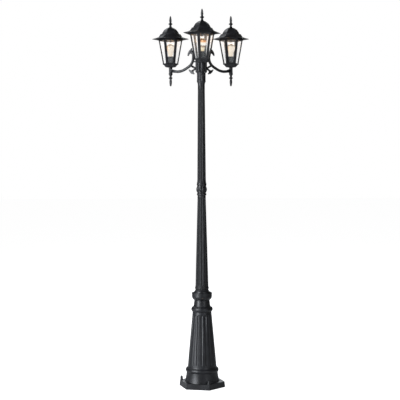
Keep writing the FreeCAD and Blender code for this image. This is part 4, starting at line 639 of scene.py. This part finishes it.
# %% anchor nuts
ANCHOR_CIRCLE = 0.131
FIRST_ANCHOR = 180 - 13.5
NUT = {"radius1": 0.0095, "radius2": 0.0092, "depth": 0.0095}
NUT_MIDDLE = 0.0048
DOME = [(0.0078, 0.009), (0.0078, 0.016), (0.0066, 0.0205), (0.0042, 0.0235), (0.0, 0.0245)]
form = bmesh.new()
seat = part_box("anchor_washers")[1][2]
for corner in range(3):
    angle = math.radians(FIRST_ANCHOR + 120 * corner)
    axis = Vector((ANCHOR_CIRCLE * math.cos(angle), ANCHOR_CIRCLE * math.sin(angle), 0))
    place = Matrix.Translation(axis + Vector((0, 0, seat + NUT_MIDDLE)))
    bmesh.ops.create_cone(form, cap_ends=True, segments=6, matrix=place, **NUT)
    add_spun(form, [(radius, seat + level) for radius, level in DOME], axis, 20)
nuts = piece_from(form, "domed_nuts", "post", "coated_steel", smooth=False)
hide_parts("anchor_nuts")
print("fitted the domed nuts at", round(seat, 4), "m")

# %% [markdown]
# ## Glazing beads
# A pane is held by a bead along its foot and one along its head. They are thin rods just inside
# the frame, so they are bars between the corners of two hexagons, stopped short of the posts. A
# hexagon is a radius and a level above the foot of the cage.

# %% glazing beads
BEAD_THICKNESS = 0.0010
BEAD_INSET = 0.0035
BEAD_STOP = 0.1
BEAD_LEVELS = [(0.0458, 0.0215), (0.0718, 0.1635)]
for name, turn in LANTERNS.items():
    axis, foot, _ = axis_of(f"cage_{name}")
    form = bmesh.new()
    for side in range(6):
        for radius, level in BEAD_LEVELS:
            first, last = (
                hexagon_corner(axis, radius - BEAD_INSET, foot + level, corner, turn)
                for corner in (side, side + 1)
            )
            bead = [first.lerp(last, BEAD_STOP), last.lerp(first, BEAD_STOP)]
            add_tube(form, bead, BEAD_THICKNESS, 6)
    piece_from(form, f"glazing_beads_{name}", f"lantern_{name}", "coated_casting")
print("beaded the panes of", len(LANTERNS), "lanterns")

# %% [markdown]
# ## Warm light under the hoods
# A lit lamp warms the inside of its hood. The haze only shows a colour and lights nothing, so a
# weak point light stands over each globe, a little to the back, so that the knob above the lamp
# is darker on its near side. It is wide and soft, so that it draws no sharp sparks in the panes.

# %% hood glow
GLOW = {"energy": 0.25, "color": (1.0, 0.62, 0.33), "shadow_soft_size": 0.03}
GLOW_PLACE = Vector((0, 0.012, 0.004))
for name in LANTERNS:
    axis, _, top = axis_of(f"lamp_glass_{name}")
    data = bpy.data.lights.new(f"lamp_light_{name}", "POINT")
    for setting, value in GLOW.items():
        setattr(data, setting, value)
    lamp = bpy.data.objects.new(f"lamp_light_{name}", data)
    bpy.context.scene.collection.objects.link(lamp)
    lamp.location = axis + Vector((0, 0, top)) + GLOW_PLACE
print("lit the hoods from below with", GLOW["energy"], "W each")

# %% [markdown]
# ## Studio floor
# The post stands on white. To light a floor up to white would flood the black coat as well, so
# the floor shines only for the camera and for rays that have passed through glass. Its own grey
# still takes the shadow of the base.

# %% floor
FLOOR_HALF = 30
FLOOR_GLOW = 0.94


def grey(level):
    return (level, level, level, 1.0)


mesh = bpy.data.meshes.new("floor")
form = bmesh.new()
bmesh.ops.create_grid(form, x_segments=1, y_segments=1, size=FLOOR_HALF)
form.to_mesh(mesh)
form.free()
floor = bpy.data.objects.new("floor", mesh)
bpy.context.scene.collection.objects.link(floor)
floor_paint = Paint("studio_floor")
seen = floor_paint.node("ShaderNodeLightPath", {}, {}, "Is Camera Ray")
through = seen.output("Is Transmission Ray")
floor_paint.finish(
    Base_Color=floor_paint.blend(floor_paint.noise(3.0, 2.0), grey(0.78), grey(0.8)),
    Roughness=1.0,
    Specular_IOR_Level=0.0,
    Emission_Color=floor_paint.blend(seen + through, grey(0.0), grey(FLOOR_GLOW)),
    Emission_Strength=1.0,
)
mesh.materials.append(floor_paint.material)
print("laid the floor,", 2 * FLOOR_HALF, "m wide")

# %% [markdown]
# ## Surround
# The world is white where the camera or a ray through glass looks at it, and nearly dark
# otherwise, so that the coat stays black. A glossy ray gets a small share of the white, enough to
# lift the metal and the glass.

# %% surround
GLOSS_SHARE = 0.05
DIM = 0.06
world = bpy.data.worlds.new("surround")
bpy.context.scene.world = world
world.use_nodes = True
sky = Net(world.node_tree)
camera_ray = sky.node("ShaderNodeLightPath", {}, {}, "Is Camera Ray")
glass_ray = camera_ray.output("Is Transmission Ray")
clear = sky.node("ShaderNodeMath", {"operation": "MAXIMUM"}, {0: camera_ray, 1: glass_ray})
share = camera_ray.output("Is Glossy Ray") * GLOSS_SHARE + clear
strength = sky.node("ShaderNodeMapRange", {}, {"Value": share, "To Min": DIM, "To Max": 1.0})
sky.fill(sky.tree.nodes["Background"], {"Strength": strength, "Color": grey(1.0)})
print("the surround lights the post at", DIM, "and shows at 1")

# %% [markdown]
# ## Lights
# Shiny black shows the lights and little else, so each light is placed for the streak it draws.
# A tall key at the left front draws the streak down the cone and the columns, an upper light
# does the same for the hoods, and a narrow fill edges the right side. One light hangs behind the
# hoods and one stands behind the post, so that neither side of it is lost.

# %% lights
CAMERA_SIDE = math.radians(268.5)
DAYLIGHT = (0.91, 0.95, 1.0)


def bearing(angle, distance, height):
    """A place at an angle round the post, counted from the camera's side towards the right."""
    turn = CAMERA_SIDE + math.radians(angle)
    return (distance * math.cos(turn), distance * math.sin(turn), height)


def soft_light(name, place, aim, size, power):
    data = bpy.data.lights.new(name, "AREA")
    data.shape = "RECTANGLE"
    data.size, data.size_y = size
    data.energy = power
    data.color = DAYLIGHT
    lamp = bpy.data.objects.new(name, data)
    bpy.context.scene.collection.objects.link(lamp)
    lamp.location = place
    lamp.rotation_euler = (Vector(aim) - Vector(place)).to_track_quat("-Z", "Y").to_euler()


soft_light("key_light", bearing(-52, 4.2, 1.15), (0, 0, 0.9), (0.7, 2.0), 148)
soft_light("upper_light", bearing(-52, 4.0, 3.4), (0, 0, 2.1), (0.9, 0.9), 120)
soft_light("fill_light", bearing(34, 4.4, 1.8), (0, 0, 1.2), (0.35, 2.4), 32)
soft_light("hood_light", bearing(-150, 3.6, 4.6), (0, 0, 2.1), (2.0, 2.0), 30)
soft_light("rear_light", bearing(178, 4.6, 3.0), (0, 0, 1.3), (1.6, 2.0), 60)
print("hung five lights")

# %% [markdown]
# ## Camera
# It stands six and a half metres away at chest height, a little to the front arm's left. The far
# lanterns sit lower than the near one in the picture, and that spread sets the distance. It looks
# down very slightly, and a hair of roll brings the post upright.

# %% camera
DISTANCE = 6.47
EYE_LEVEL = 1.415
TILT = math.radians(2.308)
ROLL = math.radians(-0.18)
AIM_SIDEWAYS = -0.0102
lens = bpy.data.cameras.new("camera")
lens.lens = 94.6
lens.sensor_width = 36.0
camera = bpy.data.objects.new("camera", lens)
bpy.context.scene.collection.objects.link(camera)
bpy.context.scene.camera = camera
camera.location = bearing(0, DISTANCE, EYE_LEVEL)
aim = Vector((AIM_SIDEWAYS, 0.0, EYE_LEVEL - DISTANCE * math.tan(TILT)))
look = (aim - camera.location).to_track_quat("-Z", "Y")
camera.rotation_euler = (look @ Matrix.Rotation(ROLL, 4, "Z").to_quaternion()).to_euler()
bpy.context.scene.view_settings.view_transform = "Standard"
print("placed the camera at", [round(value, 3) for value in camera.location])
